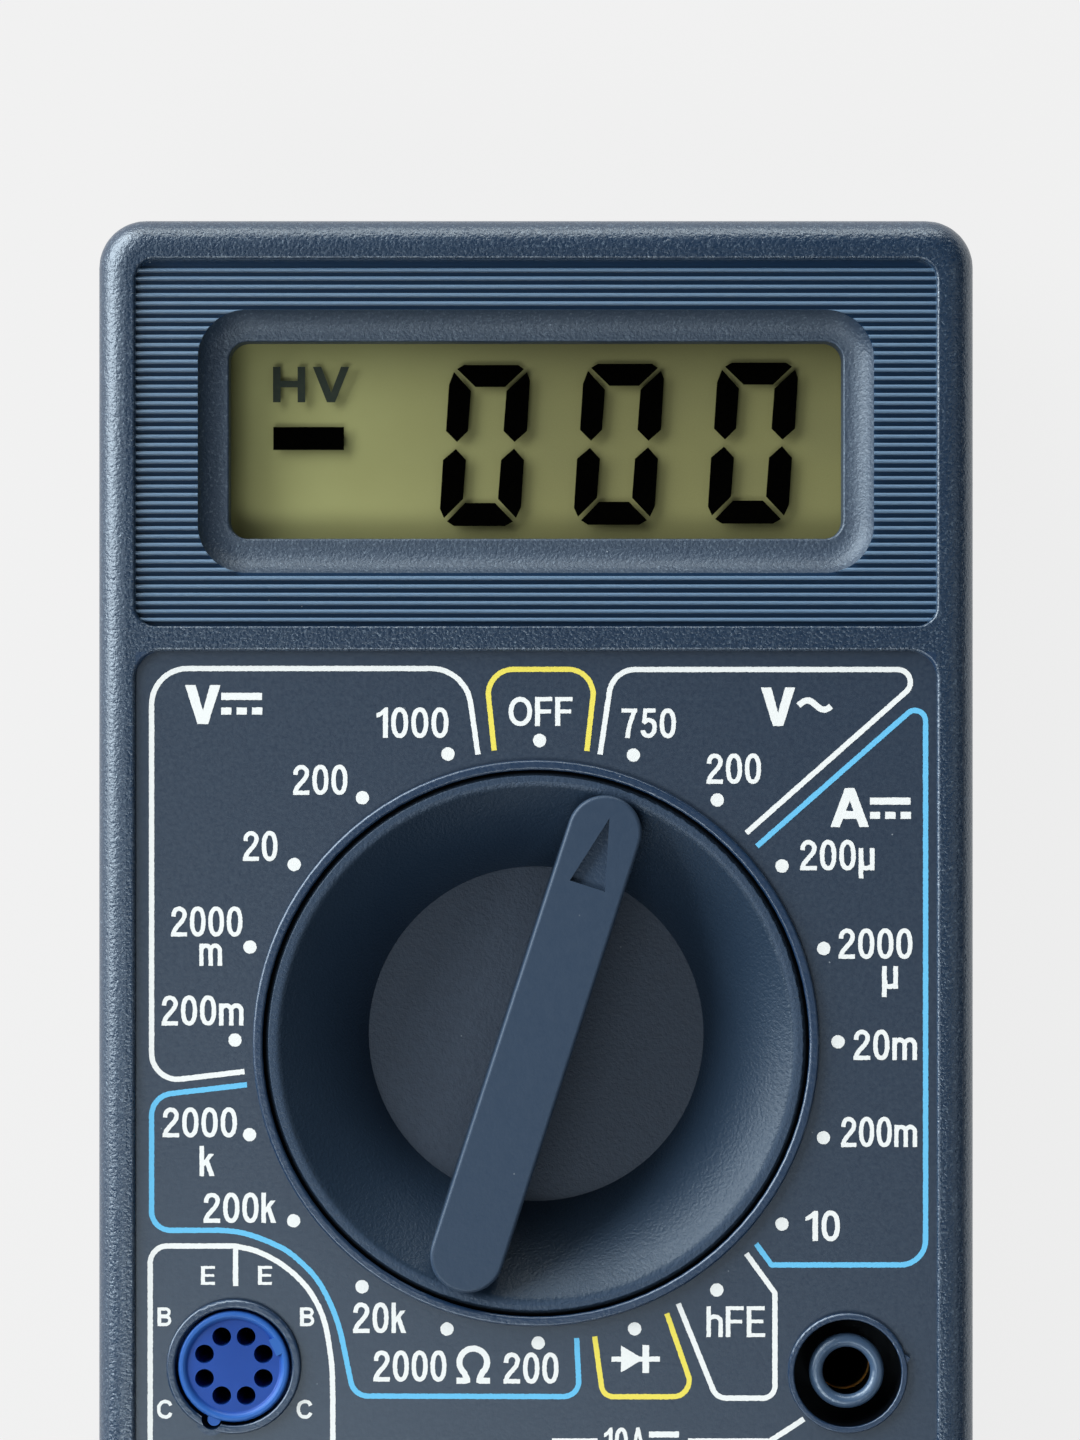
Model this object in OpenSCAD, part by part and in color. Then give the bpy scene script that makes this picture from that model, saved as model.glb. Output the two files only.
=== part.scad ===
// Pocket digital multimeter: two-shell case, dished rotary range selector with
// ball detent, reflective display, shrouded 4 mm input sockets, transistor socket,
// circuit board and 9 V block battery. Millimetres. The meter lies on its back:
// +Z is out of the front panel, +Y towards the display, origin under the case centre.

/* [Case] */
// Overall width of the case
case_w = 70; // [70:0.25:71]
// Overall length of the case
case_l = 126; // [126:0.25:128]
// Radius of the case corners in plan
corner_r = 3.8; // [3.6:0.1:5]
// Height of the parting line above the back face
split_z = 13; // [12.6:0.1:13.2]
// Height of the front rim above the back face
rim_z = 27; // [27:0.1:27.6]
// Rounding of the front edge
front_edge_r = 2.4; // [1.6:0.1:2.6]
// Rounding of the back edge
rear_edge_r = 2.8; // [2:0.1:3.2]
// Wall thickness of both shells
wall = 1.8; // [1.6:0.1:1.9]
// Width of the groove seen along the parting line
seam = 0.35; // [0.2:0.05:0.5]

/* [Front panel] */
// Width of the two recessed panels
panel_w = 63.8; // [62.8:0.1:64]
// Depth of the label recess below the rim
label_depth = 0.5; // [0.4:0.05:0.6]
// Upper edge of the label recess
label_top_y = 28.5; // [28.2:0.1:28.8]
// Lower edge of the label recess
label_bottom_y = -59.8; // [-60:0.1:-59.6]
// Upper edge of the ribbed recess
ribbed_top_y = 59.7; // [59.5:0.1:60]
// Lower edge of the ribbed recess
ribbed_bottom_y = 30.5; // [30.2:0.1:30.8]
// Depth of the ribbed recess to the foot of the ribs
ribbed_depth = 0.9; // [0.8:0.05:1]
// Spacing of the horizontal ribs
rib_pitch = 0.6636; // [0.64:0.0002:0.7]
// Height of the ribs
rib_h = 0.42; // [0.3:0.02:0.5]

/* [Display] */
// Centre of the display along the case
disp_y = 45.45; // [45.2:0.05:45.7]
// Width of the display window
window_w = 49.2; // [48:0.1:50]
// Height of the display window
window_h = 15.8; // [15:0.1:16]
// Width of the coved surround on each side of the window
surround = 2.35; // [2:0.05:2.5]
// Extra width of the surround below the window
surround_low = 0.45; // [0.3:0.05:0.6]

/* [Selector] */
// Position of the selector axis along the case
knob_y = -2.7; // [-2.9:0.05:-2.5]
// Radius of the selector where it fills the panel hole
knob_r = 21.35; // [21.2:0.05:21.45]
// Radius of the panel hole around the selector
hole_r = 21.75; // [21.7:0.05:21.8]
// Radius of the flat floor of the selector's dish
dish_floor_r = 13.72; // [13.6:0.02:13.8]
// Depth of the dish below the selector's rim
dish_depth = 8.7; // [8.5:0.1:8.7]
// Width of the grip bar
bar_w = 5.9; // [5.5:0.1:6.3]
// Half length of the grip bar
bar_half = 20.6; // [20.3:0.05:20.6]
// Clockwise angle of the pointer from the off mark
pointer_deg = 18; // [0:18:342]
// Number of switch positions
positions = 20; // [20]
// Diameter of the detent balls
ball_d = 3; // [2.9:0.05:3]

/* [Sockets] */
// Distance of the input sockets from the centre line
jack_x = 24.8; // [24.6:0.1:25]
// Position of the uppermost input socket along the case
jack_y = -28.95; // [-29:0.05:-28.8]
// Spacing of the input sockets
jack_pitch = 12.7; // [12.4:0.1:12.7]
// Bore of the input sockets, guide tube and brass alike
jack_bore = 4.2; // [4:0.05:4.3]
// Distance of the transistor socket from the centre line
hfe_x = -24.06; // [-24.2:0.02:-23.9]
// Position of the transistor socket along the case
hfe_y = -28.45; // [-28.5:0.05:-28.3]
// Diameter of the circle of transistor lead holes
hfe_pcd = 5.08; // [5:0.02:5.16]

/* [Board] */
// Height of the board's front face above the back of the case
board_z = 15; // [15]
// Thickness of the circuit board
board_t = 1.6; // [1.2:0.2:1.6]
// Height of the battery
battery_h = 17.2; // [16.5:0.1:17.2]

/* [Hidden] */
$fn = 64;
eps = 0.01;
label_z = rim_z - label_depth;
ceil_z = label_z - wall;
valley_z = rim_z - ribbed_depth;
lip_z = rim_z - 2.2;
window_r = 1.5;
surround_r = 3.85;
cove_w = surround - 0.25;
cove_h = valley_z - 0.1 - lip_z;
cove_r = (cove_w * cove_w + cove_h * cove_h) / (2 * cove_h);
rib_top = valley_z + rib_h;
ribs = floor((ribbed_top_y - ribbed_bottom_y) / rib_pitch) - 1;
lcd_top = rim_z - 4.2;
knob_top = rim_z - 0.1;
floor_z = knob_top - dish_depth;
bar_top = rim_z + 0.9;
crest_z = rim_z - 4.4;
flange_r = 25.6;
flange_top = crest_z - 1.6;
flange_bot = board_z + 0.9;
ball_r = ball_d / 2;
ball_at = 23.5;
ball_z = crest_z - 0.05 - ball_r;
board_bot = board_z - board_t;
turn = -pointer_deg;
// section of the dish: its slope leaves the floor steeply, bulges and runs into the round of the rim's inner edge
rim_edge_r = 0.15;
bead_r = 0.9;
bead_c = [knob_r - 0.5, knob_top - bead_r];
foot_deg = 66;
foot = [dish_floor_r, floor_z];
foot_n = [sin(foot_deg), -cos(foot_deg)];
slope_r = ((foot - bead_c) * (foot - bead_c) - bead_r * bead_r) / (-2 * ((foot - bead_c) * foot_n + bead_r));
slope_c = foot + slope_r * foot_n;
slope_end = bead_c + (bead_c - slope_c) * bead_r / (slope_r - bead_r);
case_screw_xy = [[-29.3, -15.5], [29.3, -15.5]];
board_screw_xy = [[-29.3, 29.6], [29.3, 29.6], [-12.5, -31.2], [12.5, -31.2]];
jacks = [for (i = [0:2]) [jack_x, jack_y - i * jack_pitch]];
battery_x0 = -32.45;
battery_l = 45.9;
battery_y0 = -60.5;
battery_w = 26;
battery_z0 = 2.05;
battery_x1 = battery_x0 + battery_l;
battery_yc = battery_y0 + battery_w / 2;
battery_zc = battery_z0 + battery_h / 2;
snap_dy = 6.35;

// ---------- shared shapes ----------

// Rounded rectangle in plan
module rrect(w, l, r) {
  square([w - 2 * r, l], center = true);
  square([w, l - 2 * r], center = true);
  for (x = [-1, 1], y = [-1, 1])
    translate([x * (w / 2 - r), y * (l / 2 - r)]) circle(r);
}

// A section, drawn outwards from the corner centres, carried round a rounded rectangle.
// z0 and z1 bound the block that fills the middle.
module carried(w, l, r, z0, z1) {
  for (i = [0:3])
    translate([(i == 0 || i == 3 ? 1 : -1) * (w / 2 - r), (i < 2 ? 1 : -1) * (l / 2 - r), 0])
      rotate(90 * i) rotate_extrude(angle = 90) children();
  for (i = [0:3]) {
    a = (i % 2 == 0) ? w : l;
    b = (i % 2 == 0) ? l : w;
    rotate(90 * i) translate([a / 2 - r, b / 2 - r, 0]) rotate([90, 0, 0])
      linear_extrude(b - 2 * r) children();
  }
  translate([-(w / 2 - r), -(l / 2 - r), z0]) cube([w - 2 * r, l - 2 * r, z1 - z0]);
}

// A section carried round a long slot with round ends, along Y
module carried_slot(half, r) {
  for (s = [0, 1])
    rotate(180 * s) translate([0, half - r, 0]) rotate_extrude(angle = 180) children();
  for (s = [0, 1])
    rotate(180 * s) translate([0, half - r, 0]) rotate([90, 0, 0])
      linear_extrude(2 * (half - r)) children();
}

// Section of a recess with straight walls and a rounded mouth
module recess_section(r, z0, mouth) {
  translate([0, z0]) square([r, rim_z + 1 - z0]);
  translate([r, rim_z - mouth]) difference() {
    square([mouth, mouth + 0.2]);
    translate([mouth, 0]) circle(mouth);
  }
}

// Tube along a list of points, with n sides
function unit(v) = v / norm(v);
function spline(p, i, t) =
  let (a = p[max(i - 1, 0)], b = p[i], c = p[i + 1], d = p[min(i + 2, len(p) - 1)])
  0.5 * (2 * b + (c - a) * t + (2 * a - 5 * b + 4 * c - d) * t * t
    + (3 * b - a - 3 * c + d) * t * t * t);
function smooth(p, k) = concat([for (i = [0:len(p) - 2], j = [0:k - 1]) spline(p, i, j / k)],
  [p[len(p) - 1]]);
module tube(p, r, n, ref) {
  m = len(p);
  pts = [for (i = [0:m - 1])
    let (t = unit(p[min(i + 1, m - 1)] - p[max(i - 1, 0)]),
      u = unit(cross(t, ref)), v = cross(u, t))
    for (j = [0:n - 1]) p[i] + r * (u * cos(360 * j / n) + v * sin(360 * j / n))];
  faces = concat(
    [[for (j = [0:n - 1]) j]],
    [for (i = [0:m - 2], j = [0:n - 1])
      [i * n + j, (i + 1) * n + j, (i + 1) * n + (j + 1) % n, i * n + (j + 1) % n]],
    [[for (j = [n - 1:-1:0]) (m - 1) * n + j]]);
  polyhedron(pts, faces, convexity = 6);
}

// Pan-headed self-tapping screw, head towards -Z, head seat at z = 0
module tapping_screw(shank_r, len, head_r, head_h) {
  difference() {
    union() {
      translate([0, 0, -head_h]) cylinder(r = head_r, h = head_h);
      cylinder(r = shank_r, h = len - shank_r);
      translate([0, 0, len - shank_r]) cylinder(r1 = shank_r, r2 = 0.2, h = shank_r);
    }
    for (a = [0, 90]) rotate(a)
      translate([-head_r * 0.62, -0.22, -head_h - eps]) cube([head_r * 1.24, 0.44, head_h * 0.6]);
  }
}

// ---------- case ----------

module jack_well() {
  // closed well with a raised collar; the inner tube guides the plug
  difference() {
    union() {
      translate([0, 0, 17.4]) cylinder(r = 5.2, h = ceil_z - 17.4 + 0.4);
      rotate_extrude() {
        translate([4.28, ceil_z]) square([0.49, rim_z - 0.12 - ceil_z]);
        translate([4.4, ceil_z]) square([0.25, rim_z - ceil_z]);
        for (x = [4.4, 4.65]) translate([x, rim_z - 0.12]) circle(0.12);
      }
      rotate(14) translate([4.55, 0, ceil_z]) rotate(45)
        translate([-0.4, -0.4, 0]) cube([0.8, 0.8, rim_z - 0.1 - ceil_z]);
    }
    translate([0, 0, 18.6]) cylinder(r = 4.28, h = 12);
    translate([0, 0, 17]) cylinder(r = 2.5, h = 5);
  }
  rotate_extrude() difference() {
    union() {
      translate([jack_bore / 2, 18.2]) square([2.5 - jack_bore / 2, rim_z - 1.2 - 18.2]);
      translate([jack_bore / 2 + 0.3, 18.2]) square([2.15 - jack_bore / 2, rim_z - 0.9 - 18.2]);
      translate([2.4, 18.2]) square([0.6, rim_z - 1.45 - 18.2]);
      translate([jack_bore / 2 + 0.3, rim_z - 1.2]) circle(0.3);
      translate([2.45, rim_z - 1.45]) circle(0.55);
    }
    translate([0, 17]) square([2.5, rim_z - 4.7 - 17]);
  }
}

module front_case() color("#34475c") {
  difference() {
    union() {
      difference() {
        // outer body
        carried(case_w, case_l, corner_r, split_z, rim_z) difference() {
          union() {
            translate([0, split_z]) square([corner_r, rim_z - split_z - front_edge_r]);
            translate([0, split_z]) square([corner_r - front_edge_r, rim_z - split_z]);
            translate([corner_r - front_edge_r, rim_z - front_edge_r]) intersection() {
              circle(front_edge_r);
              square(front_edge_r);
            }
          }
          translate([corner_r, split_z]) rotate(45) square(seam * sqrt(2), center = true);
        }
        // inside
        translate([0, 0, split_z - 1]) linear_extrude(ceil_z - split_z + 1)
          rrect(case_w - 2 * wall, case_l - 2 * wall, corner_r - wall);
        translate([0, 0, split_z - 1]) linear_extrude(2.4)
          rrect(case_w - 2 * wall + 1.8, case_l - 2 * wall + 1.8, corner_r - wall + 0.9);
        // label recess
        translate([0, (label_top_y + label_bottom_y) / 2, 0])
          carried(panel_w, label_top_y - label_bottom_y, 2.2, label_z, rim_z + 1)
            recess_section(2.2, label_z, 0.28);
        // ribbed recess: open above the ribs, and the mouth
        translate([0, (ribbed_top_y + ribbed_bottom_y) / 2, 0])
          carried(panel_w, ribbed_top_y - ribbed_bottom_y, 1.6, valley_z + rib_h, rim_z + 1)
            recess_section(1.6, valley_z + rib_h, 0.22);
      }
      // seat behind the display surround
      translate([-28.6, disp_y - 12.6, lcd_top + 0.1]) cube([57.2, 25.2, ceil_z - lcd_top + 0.3]);
      // raised ring round the selector and the detent track behind the panel
      translate([0, knob_y, 0]) {
        rotate_extrude() {
          translate([hole_r, ceil_z]) square([0.78, rim_z - 0.12 - ceil_z]);
          translate([hole_r + 0.22, ceil_z]) square([0.34, rim_z + 0.1 - ceil_z]);
          for (x = [0.22, 0.56]) translate([hole_r + x, rim_z - 0.12]) circle(0.22);
        }
        difference() {
          rotate_extrude() translate([hole_r, crest_z]) square([25.4 - hole_r, ceil_z - crest_z + 0.4]);
          for (i = [0:positions - 1]) rotate(i * 360 / positions + turn)
            translate([0, hole_r - 1, crest_z + 0.45 - 1.6]) rotate([-90, 0, 0]) cylinder(r = 1.6, h = 6);
        }
      }
      // collar round the transistor socket
      translate([hfe_x, hfe_y, 0]) {
        rotate_extrude() {
          translate([4.66, ceil_z]) square([0.7, rim_z - 0.25 - ceil_z]);
          translate([4.86, ceil_z]) square([0.3, rim_z - 0.05 - ceil_z]);
          for (x = [4.86, 5.16]) translate([x, rim_z - 0.25]) circle(0.2);
        }
        rotate(247.5) translate([4.55, 0, ceil_z]) cylinder(r = 1.25, h = rim_z - 0.1 - ceil_z);
      }
      for (p = jacks) translate([p[0], p[1], 0]) translate([0, 0, 17.4])
        cylinder(r = 5.2, h = ceil_z - 17.4 + 0.4);
      // bosses for the case screws and posts for the board
      for (p = case_screw_xy) translate([p[0], p[1], split_z + 0.3])
        cylinder(r = 3, h = ceil_z - split_z);
      for (p = board_screw_xy) translate([p[0], p[1], board_z])
        cylinder(r = 2.2, h = ceil_z - board_z + 0.3);
    }
    // display window with a rounded lip
    translate([0, disp_y, 0]) carried(window_w, window_h, window_r, lcd_top - 1, rim_z + 1) {
      translate([0, lcd_top - 1]) square([window_r, rim_z + 2 - lcd_top]);
      translate([window_r, lip_z - 0.2]) difference() {
        square([0.2, 0.4]);
        translate([0.2, 0]) circle(0.2);
      }
    }
    // coved surround, wider below the window
    translate([0, disp_y - surround_low / 2, 0])
      carried(window_w + 2 * surround, window_h + 2 * surround + surround_low, surround_r, lip_z, rim_z + 1) {
        translate([0, lip_z]) square([surround_r - cove_w, rim_z + 1 - lip_z]);
        intersection() {
          translate([surround_r - cove_w, lip_z + cove_r]) circle(cove_r, $fn = 160);
          translate([0, lip_z - 1]) square([surround_r, cove_h + 1.05]);
        }
        translate([0, lip_z + cove_h]) square([surround_r, rim_z + 1 - lip_z - cove_h]);
      }
    // grooves between the ribs
    intersection() {
      translate([0, (ribbed_top_y + ribbed_bottom_y) / 2, valley_z - 0.5])
        linear_extrude(2) rrect(panel_w, ribbed_top_y - ribbed_bottom_y, 1.6);
      rotate([90, 0, 90]) translate([0, 0, -panel_w]) linear_extrude(2 * panel_w)
        polygon(concat(
          [[ribbed_bottom_y - 1, valley_z]],
          [for (k = [1:ribs], q = [[-0.18, -rib_h], [-0.135, -0.09], [-0.07, -0.02], [0, 0.01], [0.07, -0.02],
              [0.135, -0.09], [0.18, -rib_h]])
            [ribbed_bottom_y - 0.144 + k * rib_pitch + q[0], rib_top + q[1]]],
          [[ribbed_top_y + 1, valley_z], [ribbed_top_y + 1, rib_top + 0.2], [ribbed_bottom_y - 1, rib_top + 0.2]]));
    }
    // hole for the selector
    translate([0, knob_y, 15]) cylinder(r = hole_r, h = 20);
    // hole for the transistor socket, with its keyway
    translate([hfe_x, hfe_y, 15]) {
      cylinder(r = 4.66, h = 20);
      rotate(247.5) translate([4.5, 0, 0]) cylinder(r = 0.82, h = 20);
    }
    // clear space for the plug wells
    for (p = jacks) translate([p[0], p[1], 0]) translate([0, 0, 15]) cylinder(r = 4.28, h = 20);
    // screw pilots
    for (p = case_screw_xy) translate([p[0], p[1], split_z]) cylinder(r = 1.1, h = 9);
    for (p = board_screw_xy) translate([p[0], p[1], board_z - 1]) cylinder(r = 0.85, h = 7);
    // slots for the hooks of the rear shell
    for (x = [-18, 18]) translate([x - 4.4, case_l / 2 - wall - 0.6, 16]) cube([8.8, 1.4, 1.6]);
  }
  for (p = jacks) translate([p[0], p[1], 0]) jack_well();
}

module rear_case() color("#2f4156") {
  difference() {
    union() {
      difference() {
        carried(case_w, case_l, corner_r, 0, split_z) difference() {
          union() {
            translate([0, rear_edge_r]) square([corner_r, split_z - rear_edge_r]);
            square([corner_r - rear_edge_r, split_z]);
            translate([corner_r - rear_edge_r, rear_edge_r]) intersection() {
              circle(rear_edge_r);
              translate([0, -rear_edge_r]) square(rear_edge_r);
            }
          }
          translate([corner_r, split_z]) rotate(45) square(seam * sqrt(2), center = true);
        }
        translate([0, 0, wall]) linear_extrude(split_z)
          rrect(case_w - 2 * wall, case_l - 2 * wall, corner_r - wall);
      }
      // lip that locates the front shell
      translate([0, 0, split_z - 2]) linear_extrude(3.2) difference() {
        rrect(case_w - 2 * wall + 1.5, case_l - 2 * wall + 1.5, corner_r - wall + 0.75);
        rrect(case_w - 2 * wall, case_l - 2 * wall, corner_r - wall);
      }
      // screw columns
      for (p = case_screw_xy) translate([p[0], p[1], 0]) {
        cylinder(r = 4.2, h = 7);
        cylinder(r = 3.4, h = split_z + 0.2);
      }
      // hooks at the display end
      for (x = [-18, 18]) translate([x - 4, 0, 0]) {
        translate([0, case_l / 2 - wall - 1.5, wall - 0.5]) cube([8, 1.4, 17.4 - wall]);
        translate([0, case_l / 2 - wall - 0.5, 16.1]) cube([8, 0.9, 0.8]);
      }
      // walls of the battery bay
      translate([battery_x0, battery_y0 + battery_w + 0.3, wall - 0.5]) cube([battery_l, 1.2, 9]);
      translate([18.1, -61.4, wall - 0.5]) cube([1.2, 6, 9]);
    }
    for (p = case_screw_xy) translate([p[0], p[1], 0]) {
      translate([0, 0, -1]) cylinder(r = 1.5, h = 20);
      translate([0, 0, -1]) cylinder(r = 3, h = 6);
    }
    // shallow bare field on the back
    translate([0, 21, -1]) linear_extrude(1.35) rrect(46, 30, 2);
    // grip grooves near both ends of the back
    for (i = [0:5], s = [-1, 1]) translate([0, s * (46 + i * 2.2), -0.35]) rotate([0, 90, 0])
      translate([0, 0, -24]) cylinder(r = 0.7, h = 48);
  }
}

module case_screws() color("#b9bcc0")
  for (p = case_screw_xy) translate([p[0], p[1], 5]) tapping_screw(1.3, 15.6, 2.6, 1.6);

// ---------- board and what is on it ----------

module board_outline() {
  difference() {
    union() {
      translate([-32.6, -33.6]) square([65.2, 92.2]);
      translate([20, -60.2]) square([12.6, 30]);
    }
    translate([0, knob_y]) circle(4);
    for (p = case_screw_xy) translate(p) circle(3.9);
    for (p = board_screw_xy) translate(p) circle(1.15);
    for (p = jacks) translate(p) circle(2.52);
    for (i = [0:7]) translate([hfe_x, hfe_y]) rotate(22.5 + 45 * i)
      translate([hfe_pcd / 2, 0]) circle(0.4);
  }
}

module circuit_board() color("#2e6b45")
  translate([0, 0, board_bot]) linear_extrude(board_t) board_outline();

module switch_tracks() color("#c9a24b") translate([0, knob_y, board_z]) {
  for (i = [0:positions - 1]) rotate(i * 360 / positions + 2)
    rotate_extrude(angle = 12) translate([15.4, 0]) square([3.4, 0.04]);
  for (i = [0:3]) rotate(i * 90 + 4)
    rotate_extrude(angle = 80) translate([10.4, 0]) square([3, 0.04]);
}

module board_screws() color("#b9bcc0")
  for (p = board_screw_xy) translate([p[0], p[1], board_bot]) tapping_screw(1, 7, 1.9, 1.1);

module lcd_panel() color("#84885a") translate([0, disp_y, 0]) {
  translate([-27, -11.3, lcd_top - 1.3]) cube([54, 22.6, 1.3]);
  translate([-27, -9, lcd_top - 2.5]) cube([54, 18, 1.2 + eps]);
}

module lcd_bracket() color("#e4e2da") translate([0, disp_y, board_z]) difference() {
  translate([-28.6, -12.9, 0]) cube([57.2, 25.8, lcd_top - board_z]);
  translate([-27.1, -11.4, -1]) cube([54.2, 22.8, 12]);
}

module zebra_strips() color("#2a2a2e")
  for (s = [-1, 1]) translate([-25, disp_y + s * 10.2 - 0.95, board_z])
    cube([50, 1.9, lcd_top - 1.3 - board_z]);

// ---------- range selector ----------

module selector_knob() color("#2f4257") translate([0, knob_y, 0]) rotate(turn) {
  difference() {
    rotate_extrude() {
      // flange, outer wall with its flat rim, floor and slope of the dish
      translate([knob_r - 1, flange_bot]) square([flange_r - knob_r + 1, flange_top - flange_bot]);
      translate([bead_c[0], flange_bot]) square([knob_r - bead_c[0], knob_top - rim_edge_r - flange_bot]);
      translate([bead_c[0], flange_bot]) square([knob_r - rim_edge_r - bead_c[0], knob_top - flange_bot]);
      translate([knob_r - rim_edge_r, knob_top - rim_edge_r]) circle(rim_edge_r);
      translate([0, flange_bot]) square([dish_floor_r + 0.2, floor_z - flange_bot]);
      intersection() {
        translate(slope_c) circle(slope_r, $fn = 240);
        translate([dish_floor_r - 1, flange_bot]) square([bead_c[0] - dish_floor_r + 1, slope_end[1] - flange_bot]);
        union() {
          translate([0, flange_bot]) square([knob_r, floor_z - flange_bot]);
          translate([dish_floor_r, flange_bot]) square([knob_r, 20]);
        }
      }
      translate(bead_c) circle(bead_r);
    }
    // hollow underside, which follows the dish
    rotate_extrude() polygon([[5.4, flange_bot - 1], [19.7, flange_bot - 1], [19.7, knob_top - 3.5],
      [dish_floor_r + 0.9, board_z + 2], [5.4, board_z + 2]]);
    // pockets for the detent springs and balls
    for (s = [-1, 1]) translate([0, s * ball_at, flange_bot + 0.6]) cylinder(r = ball_r + 0.05, h = 12);
  }
  // spindle that turns in the board
  translate([0, 0, board_bot - 0.8]) cylinder(r = 3.95, h = floor_z - board_bot);
  // contact carriers
  for (a = [0, 120, 240]) rotate(a) translate([-1.5, 5, board_z + 2]) cube([3, 15, 1]);
  // grip bar with the pointer recess
  difference() {
    carried_slot(bar_half, bar_w / 2) {
      translate([0, floor_z - 0.5]) square([bar_w / 2, bar_top - floor_z + 0.5 - 0.3]);
      translate([0, floor_z - 0.5]) square([bar_w / 2 - 0.3, bar_top - floor_z + 0.5]);
      translate([bar_w / 2 - 0.3, bar_top - 0.3]) circle(0.3);
    }
    translate([0, 0, bar_top - 0.65]) linear_extrude(2)
      polygon([[0, 18.86], [-1.47, 13.2], [1.47, 13.2]]);
  }
}

module wiper_contacts() color("#c9a24b") translate([0, knob_y, 0]) rotate(turn)
  for (a = [0, 120, 240], q = [[10.9, 2], [16, 2.2]]) rotate(a) translate([0, q[0], 0])
    rotate([90, 0, 0]) translate([0, 0, -q[1]]) linear_extrude(q[1]) polygon([
      [-1.5, board_z + 2], [-1.5, board_z + 1.8], [-2.6, board_z + 1.5], [-0.5, board_z + 0.06], [0.5, board_z + 0.06],
      [2.6, board_z + 1.5], [1.5, board_z + 1.8], [1.5, board_z + 2], [1.2, board_z + 2], [1.2, board_z + 1.65],
      [2, board_z + 1.42], [0.42, board_z + 0.26], [-0.42, board_z + 0.26], [-2, board_z + 1.42],
      [-1.2, board_z + 1.65], [-1.2, board_z + 2]]);

module detent_ball(s) color("#d0d3d6")
  translate([0, knob_y, 0]) rotate(turn) translate([0, s * ball_at, ball_z]) sphere(ball_r);
module detent_ball_upper() detent_ball(1);
module detent_ball_lower() detent_ball(-1);

// Coil of four turns between the pocket's floor and the ball
module detent_spring(s) color("#c4c7ca")
  translate([0, knob_y, 0]) rotate(turn) translate([0, s * ball_at, 0]) {
    z0 = flange_bot + 0.6 + 0.22;
    z1 = ball_z - ball_r - 0.1;
    turns = 4;
    steps = 48;
    tube([for (i = [0:steps]) [1.1 * cos(360 * turns * i / steps), 1.1 * sin(360 * turns * i / steps),
      z0 + (z1 - z0) * i / steps]], 0.18, 6, [0, 0, 1]);
  }
module detent_spring_upper() detent_spring(1);
module detent_spring_lower() detent_spring(-1);

// ---------- sockets ----------

module input_jack(i) color("#c8a352") translate([jacks[i][0], jacks[i][1], 0]) rotate_extrude() {
  translate([jack_bore / 2, 7]) square([2.45 - jack_bore / 2, rim_z - 4.8 - 7]);
  translate([0, 7]) square([2.45, 1]);
  translate([jack_bore / 2, board_z]) square([3.3 - jack_bore / 2, 0.8]);
}
module input_jack_current() input_jack(0);
module input_jack_volts() input_jack(1);
module input_jack_common() input_jack(2);

module transistor_socket() color("#2d4fb0") translate([hfe_x, hfe_y, 0]) difference() {
  union() {
    rotate_extrude() {
      translate([0, 17]) square([4.44, rim_z - 0.45 - 17]);
      translate([0, 17]) square([4.19, rim_z - 0.2 - 17]);
      translate([4.19, rim_z - 0.45]) circle(0.25);
      translate([0, ceil_z - 1.6]) square([5.7, 1.5]);
    }
    rotate(249.6) translate([4.47, 0, 17]) cylinder(r = 0.52, h = rim_z - 0.3 - 17);
  }
  difference() {
    rotate_extrude() polygon([[0, rim_z - 0.5], [3.64, rim_z - 0.5], [3.72, rim_z - 0.46], [3.8, rim_z - 0.36],
      [3.9, rim_z - 0.27], [4.02, rim_z - 0.21], [4.12, rim_z - 0.19], [4.12, rim_z + 2], [0, rim_z + 2]]);
    rotate(25.6) translate([3.45, -0.7, 0]) cube([1, 1.4, 40]);
  }
  for (i = [0:7]) rotate(22.5 + 45 * i) translate([hfe_pcd / 2, 0, 0]) {
    translate([0, 0, 17.8]) cylinder(r = 0.75, h = 20);
    translate([0, 0, 16]) cylinder(r = 0.35, h = 4);
  }
}

module transistor_contacts() color("#c8a352") translate([hfe_x, hfe_y, 0])
  for (i = [0:7]) rotate(22.5 + 45 * i) translate([hfe_pcd / 2, 0, 0]) {
    difference() {
      translate([0, 0, 17.8]) cylinder(r = 0.7, h = 3);
      translate([0, 0, 18.2]) cylinder(r = 0.42, h = 3);
    }
    translate([0, 0, board_bot - 0.8]) cylinder(r = 0.3, h = 17.9 - board_bot + 0.8);
  }

// ---------- power ----------

module battery() color("#3c3d40") {
  translate([battery_x0, battery_y0, battery_z0]) difference() {
    translate([0, battery_w / 2, battery_h / 2]) rotate([90, 0, 90]) linear_extrude(battery_l)
      rrect(battery_w, battery_h, 2.4);
    for (x = [0.6, battery_l - 1.1]) translate([x, battery_w / 2, battery_h / 2]) rotate([90, 0, 90])
      linear_extrude(0.5) difference() {
        square([40, 40], center = true);
        rrect(battery_w - 0.5, battery_h - 0.5, 2.2);
      }
  }
}

module battery_terminals() color("#c9ccd0") {
  translate([battery_x1, battery_yc + snap_dy, battery_zc]) rotate([0, 90, 0]) {
    cylinder(r = 2.5, h = 1.2);
    translate([0, 0, 1.2]) cylinder(r = 2.75, h = 1.3);
  }
  translate([battery_x1, battery_yc - snap_dy, battery_zc]) rotate([0, 90, 0]) difference() {
    cylinder(r = 4.1, h = 2.5);
    translate([0, 0, 0.6]) cylinder(r = 3.1, h = 4);
  }
}

module battery_snap() color("#1d1e20")
  translate([battery_x1 + 2.9, battery_yc, battery_zc]) rotate([90, 0, 90]) linear_extrude(1.5)
    rrect(24, 11, 2);

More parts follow.
